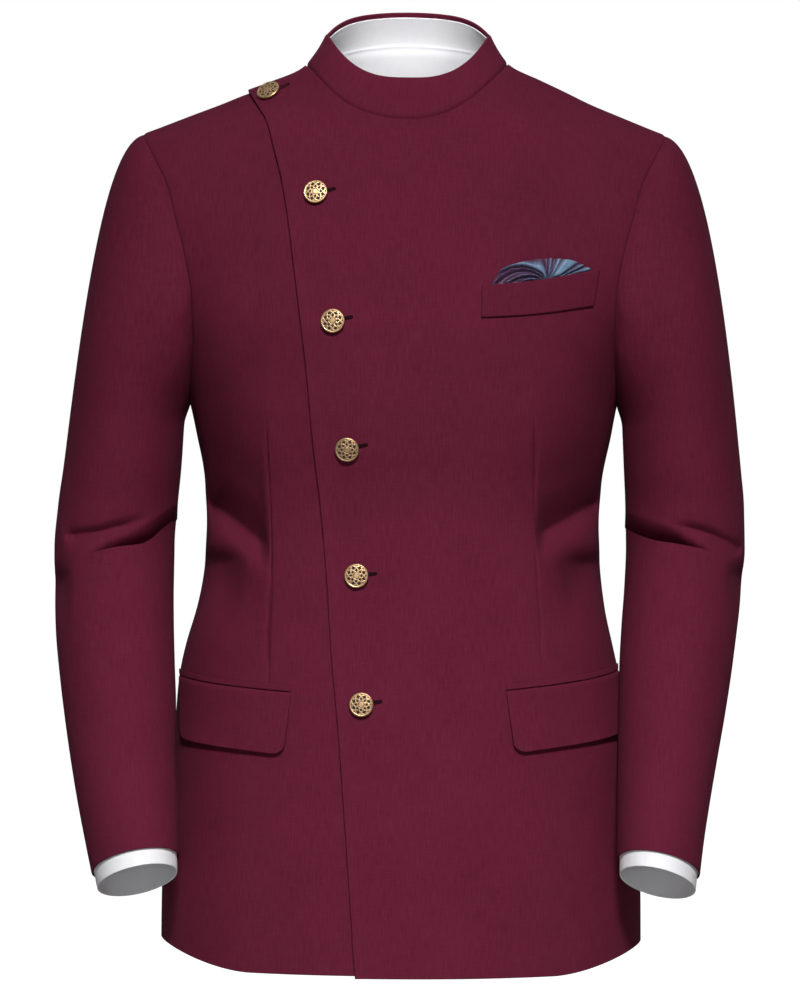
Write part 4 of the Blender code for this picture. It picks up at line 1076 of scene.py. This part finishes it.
def sleeve_cut(points, arm, middle):
    """The sleeve's cut in metres: round the arm from the piece's middle turn, and its height."""
    x, y, z = points[..., 0], points[..., 1], points[..., 2]
    word = "right_" if arm == RIGHT else "left_"
    level = np.minimum(z, UPPER_ARM)
    centre = (read(SLEEVE_RINGS, word + "out", level) + read(SLEEVE_RINGS, word + "in", level)) / 2
    forward = read(SLEEVE_RINGS, "forward", level)
    angle = np.degrees(np.arctan2(-(y + forward), arm * x - centre))
    angle = (angle - middle + 180.0) % 360.0 - 180.0
    return np.stack([np.radians(angle) * ARM_RADIUS, z], axis=-1)


# Each part's first and last turn, its columns, and its flat cut's size and area
sleeve_cuts = {
    "upper": (FRONT_SEAM_TURN, BACK_SEAM_TURN - 360.0, 120, (0.28, 0.64), 0.145),
    "under": (FRONT_SEAM_TURN, BACK_SEAM_TURN, 36, (0.17, 0.50), 0.062),
}
for side_word, arm in SIDES:
    for part, (first, last, count, flat, area) in sleeve_cuts.items():
        turns = first + (last - first) * spread(count, (0.003, 0.008, 0.014), (0.003, 0.008, 0.014))
        points, normals = sleeve_surface(arm, turns + (360.0 if part == "upper" else 0.0))
        sleeve = cloth_piece(
            f"{part}_sleeve_{side_word}", trimmed(points, SEAM_GAP), normals, CLOTH,
            "edge plain plain plain", wine_cloth, sleeve_cut(points, arm, (first + last) / 2),
        )
        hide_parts(f"sleeve_{part}_{side_word}")

# The white cuff linings
# A band of white cotton lining in each sleeve end, folded double at its edge. It is sewn to the
# inside of the sleeve and shows a finger's width below the hem.

CUFF_SHOWS, CUFF_INSIDE = 0.0125, 0.060
LINING = 0.0010
white_cotton, tree, shader = new_material(
    "white_cotton_lining", Roughness=0.60, Specular_IOR_Level=0.3, Sheen_Weight=0.10
)
clouds = cut_noise(tree, 25.0, 25.0, 3.0)
threads = cut_noise(tree, 900.0, 120.0)
tone = math_node(tree, "ADD", clouds, math_node(tree, "MULTIPLY", threads, 0.6))
shaded_white, bright_white = (0.87, 0.87, 0.90, 1.0), (0.93, 0.93, 0.95, 1.0)
white = two_tones(tree, mapped(tree, tone, From_Min=0.5, From_Max=1.1), shaded_white, bright_white)
tree.links.new(white, shader.inputs["Base Color"])
tree.links.new(weave_bump(tree, 0.0005, 0.00006, 0.4), shader.inputs["Normal"])

for side_word, arm in SIDES:
    climb = spread(20, (0.002, 0.005, 0.009, 0.02), (0.02,))[:, None]
    levels = SLEEVE_HEM - CUFF_SHOWS + (CUFF_SHOWS + CUFF_INSIDE) * climb
    turns = np.linspace(0.0, 360.0, 145)[None, :]
    ring, before, after = (
        ring_point(arm, *np.broadcast_arrays(levels, (turns + step) % 360.0))
        for step in (0.0, -1.0, 1.0)
    )
    normals = unit(np.cross(after - before, row_steps(ring))) * -arm
    points = ring - normals * (CLOTH + LINING_GAP)
    cuff = cloth_piece(
        f"cuff_band_{side_word}", points, normals, LINING, "edge plain plain plain",
        white_cotton, closed=True,
    )
    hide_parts(f"cuff_lining_{side_word}")

# The collar
# A stand collar of the same cloth over firm interlining, cut in one with a soft curve and sewn to
# the neckline. It opens at the right shoulder, and its inside has a white cotton band.

COLLAR_CLOTH = 0.0022
RIM_HALF_WIDTH, RIM_SIDE, RIM_FRONT, RIM_BACK = 0.0690, 0.0340, -0.0072, 0.0585
# The rim's depth as a share of the neckline's, at the front and the back
RIM_CLOSES_FRONT, RIM_CLOSES_BACK = 0.79, 0.84
# How far the rim stands towards the wearer's left of the neckline, and how round the cloth swells
RIM_ASIDE, COLLAR_SWELL = 0.0028, 0.0012
COLLAR_GROOVE_REACH = 0.0018


def neckline():
    """Points round the neckline, from the right shoulder across the front and round the back, with
    their outward directions and how far each is from the centre line towards the side."""
    share = np.linspace(-1.0, 1.0, 91)
    across = NECK_HALF * (share + np.sin(share * math.pi / 2)) / 2
    top = np.full(share.shape, TOP_ROW)
    loop = []
    for side, x in ((FRONT, across), (BACK, across[::-1][1:])):
        turn = np.degrees(np.arcsin(x / SHOULDER_HALF))
        x, z = body_place(turn, top[:len(x)], side)
        lift = lap_lift(x, z) if side == FRONT else np.zeros(x.shape)
        loop.append((*body_point(x, z, side, lift), x / NECK_HALF))
    return [np.concatenate(parts) for parts in zip(*loop)]


def collar_surface(shares, reach):
    """The stand collar at these shares of its height, 0 at its seam and 1 at its rim, with its
    outward directions. It sinks in towards its seam over this reach."""
    base, base_normal, side_share = neckline()
    across = np.minimum(1.0, np.abs(side_share))
    front = base[:, 1] < 0
    rim_front = RIM_FRONT + (RIM_SIDE - RIM_FRONT) * across**2.9
    rim_back = RIM_BACK + (RIM_SIDE - RIM_BACK) * (0.5 * across**2.2 + 0.5 * across**6.5)
    top = np.stack([
        side_share * RIM_HALF_WIDTH + RIM_ASIDE,
        base[:, 1] * np.where(front, RIM_CLOSES_FRONT, RIM_CLOSES_BACK),
        np.where(front, rim_front, rim_back),
    ], axis=-1)
    swell = unit(base * (1.0, 1.0, 0.0)) * (COLLAR_SWELL * (1.0 - 2.0 * across**2))[:, None]
    share = np.array(shares)[:, None, None]
    climb = np.maximum(0.0, share) * np.linalg.norm(top - base, axis=-1)[None, :, None]
    groove = base_normal * SEAMS["deep"][0] * fade(climb, reach)
    rows = base + (top - base) * share + swell * np.sin(math.pi * share) - groove
    where_it_closes = rows[:, 1:2] - rows[:, -2:-1]
    around = np.concatenate([where_it_closes, rows[:, 2:] - rows[:, :-2], where_it_closes], axis=1)
    return rows, unit(np.cross(around, row_steps(rows)))


collar_rows = spread(20, (0.008, 0.018, 0.030, 0.045, 0.065), (0.004, 0.010, 0.018, 0.030))
# The collar's foot reaches a hair below the neckline, so that no light comes through the seam
collar_rows[0] = -0.0008
points, normals = collar_surface(collar_rows, COLLAR_GROOVE_REACH)
collar = cloth_piece(
    "stand_collar", trimmed(points, SEAM_GAP), normals, COLLAR_CLOTH, "plain edge plain plain",
    wine_cloth,
)
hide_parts("collar")

# The white linings inside the neck
# White cotton again: a band stitched inside the collar just below its rim, with a seam along it,
# and the lining of the upper back, which shows through the neck.

# In shares of the collar's height: the band's lower edge, which reaches down inside the neck as a
# facing, its edge below the rim, and the seam that shows along it at the back
BAND_FOOT, BAND_TOP, BAND_SEAM, BAND_SEAM_REACH = -0.48, 0.90, 0.22, 0.025
BAND_SEAM_DEPTH, BAND_GROOVE_REACH = 0.0004, 0.0080
band_share = np.array([
    BAND_FOOT, -0.47, *np.linspace(-0.45, 0.87, 53), 0.885, 0.893, BAND_TOP
])
points, normals = collar_surface(band_share, BAND_GROOVE_REACH)
seam = BAND_SEAM_DEPTH * fade(band_share - BAND_SEAM, BAND_SEAM_REACH)
seam = seam[:, None] * (points[..., 1] > 0)
band_points = points - normals * (COLLAR_CLOTH + LINING_GAP + seam)[..., None]
collar_band = cloth_piece(
    "collar_white_band", band_points, normals, LINING, "plain edge plain plain", white_cotton
)
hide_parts("collar_lining")

# The yoke reaches halfway from the neck to the armhole, and down to this mesh row of the back
YOKE_REACH, YOKE_LOWEST_ROW = 0.5, 15.0
yoke_limit = NECK_TURN + (90.0 - NECK_TURN) * YOKE_REACH
turns = np.concatenate([-back_turns[0][::-1][:-1], back_turns[0]])
turns = turns[np.abs(turns) <= yoke_limit + 0.01][None, :]
rows = (YOKE_LOWEST_ROW + (TOP_ROW - YOKE_LOWEST_ROW) * spread(50, (), (0.004, 0.010)))[:, None]
x, z = body_place(turns, rows, BACK)
points, normals = body_point(x, z, BACK, np.full(x.shape, -(CLOTH + 3 * LINING_GAP)))
yoke = cloth_piece(
    "yoke_white_lining", points, normals, LINING, "edge plain edge edge", white_cotton
)
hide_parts("yoke_lining")

# The hip pockets
# On each side a flap of the same cloth, lined and rounded at its front corner, hangs from the
# pocket's mouth below a narrow piped edge. Both are sewn into the mouth.

# Arm, word, then the mouth's front end in x and z and its side end in z
HIP_POCKETS = (
    (RIGHT, "right", 0.0888, -0.5146, -0.5040),
    (LEFT, "left", 0.0843, -0.5125, -0.4980),
)
HIP_POCKET_SIDE_TURN, HIP_POCKET_LENGTH = 81.0, 0.143
FLAP_CLOTH, FLAP_DEPTH, FLAP_SLANT, FLAP_CORNER = 0.0014, 0.0510, 0.0055, 0.0130
# How far the flap lies off the front at its top, and how much more its lower edge stands off
FLAP_ROOM, FLAP_STANDS_OFF = 0.0009, 0.0017
# The flap starts just below the mouth's line, and the piping just above it
BELOW_MOUTH, ABOVE_MOUTH = 0.0002, 0.0006
PIPING_CLOTH, PIPING_LIFT, PIPING_DEPTH = 0.0010, 0.0018, 0.0046


def hip_line(share, arm, front_x, front_z, side_z):
    """x and z along a hip pocket's mouth, from its front end to the side."""
    start = math.degrees(math.asin(front_x / float(half_width(front_z))))
    turn = start + (HIP_POCKET_SIDE_TURN - start) * share
    z = front_z + (side_z - front_z) * share
    return arm * half_width(z) * np.sin(np.radians(turn)), z


def front_lift(arm, x, z):
    """How far the front stands off the body: the left front lies over the right one."""
    return lap_lift(x, z) if arm == LEFT else np.zeros(np.shape(x))


for arm, side_word, *mouth in HIP_POCKETS:
    share = spread(60, (0.002, 0.004, 0.007, 0.012), (0.012, 0.007, 0.004, 0.002)[::-1])[None, :]
    drop = spread(24, (), (0.005, 0.011, 0.018, 0.03))[:, None]
    x, z = hip_line(share, arm, *mouth)
    from_end = np.minimum(share, 1.0 - share) * HIP_POCKET_LENGTH
    corner = np.maximum(0.0, FLAP_CORNER - from_end)
    depth = FLAP_DEPTH - (FLAP_CORNER - np.sqrt(FLAP_CORNER**2 - corner**2)) * 0.75
    slant = FLAP_SLANT * np.maximum(0.0, 1.0 - share / 0.25) * drop
    z = z - BELOW_MOUTH - depth * drop
    x = arm * np.minimum(np.abs(x) + slant, half_width(z) * 0.996)
    lift = FLAP_CLOTH + FLAP_ROOM + FLAP_STANDS_OFF * drop**1.5
    points, normals = body_point(x, z, FRONT, front_lift(arm, x, z) + lift)
    flap = cloth_piece(
        f"hip_flap_{side_word}", points, normals, FLAP_CLOTH, "seam edge edge edge", wine_cloth
    )
    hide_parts(f"flap_{side_word}")

    x, z = hip_line(spread(60, (0.003, 0.008), (0.003, 0.008))[None, :], arm, *mouth)
    z = z + ABOVE_MOUTH + PIPING_DEPTH * spread(6, (0.06, 0.13), (0.06, 0.13))[:, None]
    lift = front_lift(arm, x, z) + PIPING_LIFT
    points, normals = body_point(x * np.ones(z.shape), z, FRONT, lift)
    piping = cloth_piece(
        f"hip_piping_{side_word}", points, normals, PIPING_CLOTH, "edge edge edge edge", wine_cloth
    )
    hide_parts(f"jetting_{side_word}")

# The chest pocket
# A slanting welt of the same cloth, double with a pressed top edge, is sewn down at both ends and
# along its lower edge. It stands a little open at the top, where the silk square is tucked in.

WELT_INNER_X, WELT_OUTER_X = 0.0630, 0.1590
WELT_INNER_Z, WELT_OUTER_Z = -0.1825, -0.1668
WELT_INNER_DEPTH, WELT_OUTER_DEPTH, WELT_OUTER_SLANT = 0.0255, 0.0300, 0.0036
WELT_ROOM, WELT_BOW = 0.0032, 0.0022


def welt_line(share):
    """x and z along the chest welt's upper edge, from its inner end; it sags a little between."""
    x = WELT_INNER_X + (WELT_OUTER_X - WELT_INNER_X) * share
    bow = WELT_BOW * np.sin(math.pi * share)
    return x, WELT_INNER_Z + (WELT_OUTER_Z - WELT_INNER_Z) * share - bow


share = spread(44, (0.004, 0.009, 0.016), (0.004, 0.009, 0.016))[None, :]
climb = spread(14, (0.01, 0.025, 0.05), (0.01, 0.022, 0.04))[:, None]
x, z = welt_line(share)
x = x - WELT_OUTER_SLANT * share * (1.0 - climb)
z = z - (WELT_INNER_DEPTH + (WELT_OUTER_DEPTH - WELT_INNER_DEPTH) * share) * (1.0 - climb)
lift = LINING_GAP + CLOTH + WELT_ROOM * climb
points, normals = body_point(x, z, FRONT, front_lift(LEFT, x, z) + lift)
welt = cloth_piece(
    "chest_pocket_welt", points, normals, CLOTH, "edge edge edge edge", wine_cloth
)
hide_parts("chest_welt")

# The pocket square
# A square of shot silk, blue one way and plum the other, gathered at its middle and tucked into
# the chest pocket so that its folds fan out above the welt. Only the tucking holds it.

SILK, SQUARE_TUCK = 0.0007, 0.0140
# How far the silk lies off the front in the pocket, then above it in a valley and on a fold
TUCKED_LIFT, VALLEY_LIFT, FOLD_LIFT = 0.0010, 0.0006, 0.0038
# The height of the silk's upper edge at each place across
SQUARE_TOP = table(
    "height top",
    (0.1530, -0.1692),
    (0.1490, -0.1657),
    (0.1418, -0.1625),
    (0.1333, -0.1602),
    (0.1215, -0.1594),
    (0.1098, -0.1596),
    (0.0941, -0.1633),
    (0.0785, -0.1695),
    (0.0705, -0.1825),
)
# The folds fan out from here. Those past 85 degrees curl over, by so many degrees to the metre
FAN_X, FAN_Z, FAN_CURL = 0.1164, -0.1800, 1500.0
# Valleys between the folds: turn round the fan's middle, half width in degrees, depth share
SQUARE_VALLEYS = (
    (166.0, 4.0, 0.8), (152.0, 4.5, 1.0), (137.0, 4.5, 1.0), (122.0, 6.0, 1.0), (111.0, 3.0, 0.8),
    (91.0, 6.0, 1.0), (74.0, 6.0, 0.9), (58.0, 4.0, 0.5), (33.0, 3.0, 0.7), (26.0, 2.0, 0.8),
)
shot_silk, tree, shader = new_material(
    "shot_blue_silk", Roughness=0.36, Specular_IOR_Level=0.6, Sheen_Weight=0.2,
    Sheen_Roughness=0.3, Sheen_Tint=(0.55, 0.80, 1.0, 1.0),
)
streaks = cut_noise(tree, 320.0, 140.0, 4.0)
# Painted shade: an attribute taken from the folds' shape darkens the silk to plum in its valleys
# and towards the middle of the chest, and the streaks add plum tone at random
painted_shade = add_node(tree, "ShaderNodeAttribute", {"attribute_name": "painted_fold_shade"}).outputs["Fac"]
plum_and_shade_share = math_node(tree, "ADD", painted_shade, math_node(tree, "MULTIPLY", streaks, 0.7))
silk_blue, silk_plum_and_shade = (0.140, 0.260, 0.400, 1.0), (0.050, 0.010, 0.050, 1.0)
plum_and_shade_tone = mapped(tree, plum_and_shade_share, From_Min=0.22, From_Max=0.92)
tree.links.new(two_tones(tree, plum_and_shade_tone, silk_blue, silk_plum_and_shade), shader.inputs["Base Color"])
tree.links.new(weave_bump(tree, 0.0004, 0.00005, 0.4), shader.inputs["Normal"])

share = spread(200, (0.002, 0.005), (0.002, 0.005))[None, :]
climb = spread(52, (0.02,), (0.008, 0.02))[:, None]
first_x, last_x = SQUARE_TOP["height"][0], SQUARE_TOP["height"][-1]
x = first_x + (last_x - first_x) * share * np.ones(climb.shape)
line_z = welt_line((x - WELT_INNER_X) / (WELT_OUTER_X - WELT_INNER_X))[1]
rise = np.maximum(0.0006, read(SQUARE_TOP, "top", x) - line_z)
height = (SQUARE_TUCK + rise) * climb - SQUARE_TUCK
above = smooth_step((height + 0.002) / 0.004)
z = line_z + height
reach = np.hypot(x - FAN_X, z - FAN_Z)
turn = np.degrees(np.arctan2(np.maximum(z - FAN_Z, 0.0004), x - FAN_X))
turn = turn - FAN_CURL * reach * smooth_step((turn - 85.0) / 50.0)
valley = np.zeros(x.shape)
for middle, degrees, depth in SQUARE_VALLEYS:
    valley = np.maximum(valley, depth * fade(turn - middle, degrees))
valley = valley * above
roll = smooth_step(reach / 0.010)
lift = LINING_GAP + TUCKED_LIFT + above * (VALLEY_LIFT + FOLD_LIFT * roll * (1.0 - valley))
points, normals = body_point(x, z, FRONT, front_lift(LEFT, x, z) + lift)
square = cloth_piece(
    "silk_square", points, normals, SILK, "edge edge edge edge", shot_silk
)
# Painted shade: dark plum is laid into the valleys between the folds, and a little over all the
# folds towards the middle of the chest, where the silk falls into shade
painted_side_shade = 0.26 * smooth_step((FAN_X - x) / 0.030)
painted_shades = np.tile((0.80 * valley + painted_side_shade).reshape(-1), 2)
attribute = square.data.attributes.new("painted_fold_shade", "FLOAT", "POINT")
attribute.data.foreach_set("value", painted_shades.astype(np.float32))
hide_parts("pocket_square")

# The buttons
# Six shanked buttons of gilt metal: a low dome inside a plain rim, with an eight-petalled rosette
# cut into it and the cuts left dark. The shank passes through the buttonhole.

BUTTON_RADIUS = 0.010
# x and height on the over front, and how far the button leans to the front
BUTTON_PLACES = (
    (-0.1140, -0.0160, 0.20),
    (-0.0720, -0.1066, 0.0),
    (-0.0571, -0.2121, 0.0),
    (-0.0447, -0.3154, 0.0),
    (-0.0371, -0.4194, 0.0),
    (-0.0324, -0.5240, 0.0),
)
PETALS = 8
gilt, tree, shader = new_material("antique_gilt")
cuts = add_node(tree, "ShaderNodeAttribute", {"attribute_name": "cut_depth"}).outputs["Fac"]
place = add_node(tree, "ShaderNodeTexCoord").outputs["Object"]
rubbed = add_node(tree, "ShaderNodeTexNoise", Vector=place, Scale=900.0, Detail=3.0).outputs["Fac"]
worn_gilt, bright_gilt = (0.44, 0.265, 0.125, 1.0), (0.64, 0.45, 0.26, 1.0)
cut_black = (0.022, 0.008, 0.010, 1.0)
gold = two_tones(tree, mapped(tree, rubbed, From_Min=0.3, From_Max=0.75), worn_gilt, bright_gilt)
tree.links.new(two_tones(tree, cuts, gold, cut_black), shader.inputs["Base Color"])
tree.links.new(mapped(tree, cuts, To_Min=0.40, To_Max=0.80), shader.inputs["Roughness"])
tree.links.new(mapped(tree, cuts, To_Min=1.0, To_Max=0.0), shader.inputs["Metallic"])

# The turned outline in shares of the button's radius, from the face's middle round the rim and
# under it to the shank. The dome's points lie on the mesh as their radius does, times a share, and
# the rim's and the back's are spread evenly over what is left
DOME_POINTS, DOME_SHARE, RIM_START = 5, 0.86, 0.745
FACE_SHARE, CUT_DEPTH = 0.70, 0.030
BUTTON_OUTLINE = (
    (0.0, 0.42), (0.30, 0.415), (0.60, 0.395), (0.80, 0.365), (0.835, 0.345), (0.86, 0.355),
    (0.90, 0.365), (0.95, 0.345), (0.985, 0.30), (1.0, 0.24), (0.985, 0.18), (0.94, 0.13),
    (0.60, 0.115), (0.30, 0.11), (0.22, 0.08), (0.20, 0.0), (0.0, 0.0),
)


def petal_cuts(radius, angle):
    """How deep the rosette is cut at a place on the face, from 0 to 1: the petals' outlines, three
    rings of cells between them and a ring round the middle, all in shares of the radius."""
    turn = (angle / (2 * math.pi) * PETALS) % 1.0 - 0.5
    across = turn * 2 * math.pi / PETALS * radius

    def lozenge(middle, half_length, half_wide, shift=0.0):
        """A ring of pointed cells, one to a petal, or between the petals with a shift of 0.5."""
        offset = (turn + 0.5 + shift) % 1.0 - 0.5
        aside = np.abs(offset * 2 * math.pi / PETALS * radius)
        away = np.abs(radius - middle) / half_length + aside / half_wide
        return smooth_step((1.0 - away) / 0.25)

    petal_edge = 0.17 * np.sin(np.clip((radius - 0.36) / 0.44, 0, 1) * math.pi)
    off_edge = np.abs(np.abs(across) - petal_edge)
    outline = 0.5 * smooth_step((0.028 - off_edge) / 0.018) * (radius > 0.50) * (radius < 0.82)
    cells = np.maximum(lozenge(0.67, 0.180, 0.205), lozenge(0.80, 0.060, 0.095, 0.5))
    cells = np.maximum(cells, lozenge(0.44, 0.155, 0.140, 0.5))
    ring = 0.8 * smooth_step((0.030 - np.abs(radius - 0.24)) / 0.012)
    return np.maximum(np.maximum(outline, cells), ring)


bpy.ops.object.select_all(action="DESELECT")
bpy.ops.mesh.primitive_uv_sphere_add(segments=128, ring_count=60, radius=1.0)
pattern = bpy.context.object
mesh = pattern.data
count = len(mesh.vertices)
sphere = np.zeros(count * 3)
mesh.vertices.foreach_get("co", sphere)
sphere = sphere.reshape(-1, 3)
down = np.arccos(np.clip(sphere[:, 2], -1.0, 1.0)) / math.pi
angle = np.arctan2(sphere[:, 1], sphere[:, 0])
outline = np.array(BUTTON_OUTLINE)
stops = np.concatenate([
    outline[:DOME_POINTS, 0] * DOME_SHARE, np.linspace(RIM_START, 1.0, len(outline) - DOME_POINTS)
])
radius = np.interp(down, stops, outline[:, 0])
cut = np.where(down < FACE_SHARE, petal_cuts(radius, angle), 0.0)
height = np.interp(down, stops, outline[:, 1]) - CUT_DEPTH * cut
places = np.stack([radius * np.cos(angle), radius * np.sin(angle), height], axis=-1) * BUTTON_RADIUS
mesh.vertices.foreach_set("co", places.reshape(-1))
attribute = mesh.attributes.new("cut_depth", "FLOAT", "POINT")
attribute.data.foreach_set("value", cut.astype(np.float32))
mesh.shade_smooth()
mesh.materials.append(gilt)
# How far a button stands off the over front, and how much more when it leans
BUTTON_ROOM, LEAN_ROOM = 0.0004, 0.12
for number, (x, height, lean) in enumerate(BUTTON_PLACES, start=1):
    seat, normal = body_point(np.array(x), np.array(height), FRONT, LAP_LIFT + BUTTON_ROOM)
    facing = Vector(normal) + Vector((0.0, -lean, 0.0))
    facing.normalize()
    seat = Vector(seat) + Vector(normal) * (LEAN_ROOM * BUTTON_RADIUS * lean)
    turned = Matrix.Translation(seat) @ facing.to_track_quat("Z", "X").to_matrix().to_4x4()
    button = pattern.copy()
    button.data = mesh.copy()
    button.name = f"gilt_button_{number}"
    button.data.transform(turned)
    bpy.context.scene.collection.objects.link(button)
    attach(button, "root")
    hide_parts(f"button_{number}")
bpy.data.objects.remove(pattern, do_unlink=True)

# The buttonholes
# Each is a slit worked round with close stitches of dark red twist. It runs from under its button
# away from the free edge, and its end shows past the button.

HOLE_LENGTH, HOLE_HALF = 0.0152, 0.0008
STITCH_RADIUS, STITCH_REACH, STITCH_LIFT = 0.00045, 0.00095, 0.0001
STITCH_PITCH = 0.00062
# The turns of the stitches round the slit's end
END_TURNS = (-60.0, -30.0, 0.0, 30.0, 60.0)
# Degrees that each slit rises towards the wearer's left
HOLE_RISES = (28.0, 12.8, 13.7, 13.4, 7.8, 10.3)
dark_twist, tree, shader = new_material(
    "dark_buttonhole_twist", Roughness=0.8, Specular_IOR_Level=0.08
)
place = add_node(tree, "ShaderNodeTexCoord").outputs["Object"]
strands = add_node(tree, "ShaderNodeTexNoise", Vector=place, Scale=2500.0, Detail=2.0)
twist_black, twist_red = (0.008, 0.002, 0.004, 1.0), (0.026, 0.004, 0.009, 1.0)
twist = two_tones(tree, strands.outputs["Fac"], twist_black, twist_red)
tree.links.new(twist, shader.inputs["Base Color"])

bpy.ops.object.select_all(action="DESELECT")
bpy.ops.mesh.primitive_uv_sphere_add(segments=8, ring_count=6, radius=1.0)
stitch = bpy.context.object
scale = Matrix.Diagonal((STITCH_REACH, STITCH_RADIUS, STITCH_RADIUS, 1.0))
# Each stitch's place along the slit and beside it, and its turn from the slit's direction
steps = int(HOLE_LENGTH / STITCH_PITCH)
stitches = [
    (i * STITCH_PITCH, row * HOLE_HALF, 90.0) for row in (-1.0, 1.0) for i in range(steps + 1)
]
for turn in END_TURNS:
    around = math.radians(turn)
    stitches.append((
        HOLE_LENGTH + HOLE_HALF * math.cos(around), HOLE_HALF * math.sin(around), turn
    ))
for number, ((x, height, _), rise) in enumerate(zip(BUTTON_PLACES, HOLE_RISES), start=1):
    tilt = math.radians(rise)
    shape = bmesh.new()
    for along, aside, turn in stitches:
        px = np.array(x + along * math.cos(tilt) - aside * math.sin(tilt))
        pz = np.array(height + along * math.sin(tilt) + aside * math.cos(tilt))
        spot, normal = body_point(px, pz, FRONT, lap_lift(px, pz) + STITCH_LIFT)
        out = Vector(normal)
        heading = tilt + math.radians(turn)
        reach = Vector((math.cos(heading), 0.0, math.sin(heading)))
        reach = (reach - out * reach.dot(out)).normalized()
        axes = Matrix((reach, out.cross(reach), out)).transposed().to_4x4()
        first = len(shape.verts)
        shape.from_mesh(stitch.data)
        shape.verts.ensure_lookup_table()
        bmesh.ops.transform(
            shape, matrix=Matrix.Translation(Vector(spot)) @ axes @ scale, verts=shape.verts[first:]
        )
    mesh = bpy.data.meshes.new(f"buttonhole_{number}")
    shape.to_mesh(mesh)
    shape.free()
    mesh.shade_smooth()
    mesh.materials.append(dark_twist)
    hole = bpy.data.objects.new(f"buttonhole_{number}", mesh)
    bpy.context.scene.collection.objects.link(hole)
    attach(hole, "root")
bpy.data.objects.remove(stitch, do_unlink=True)
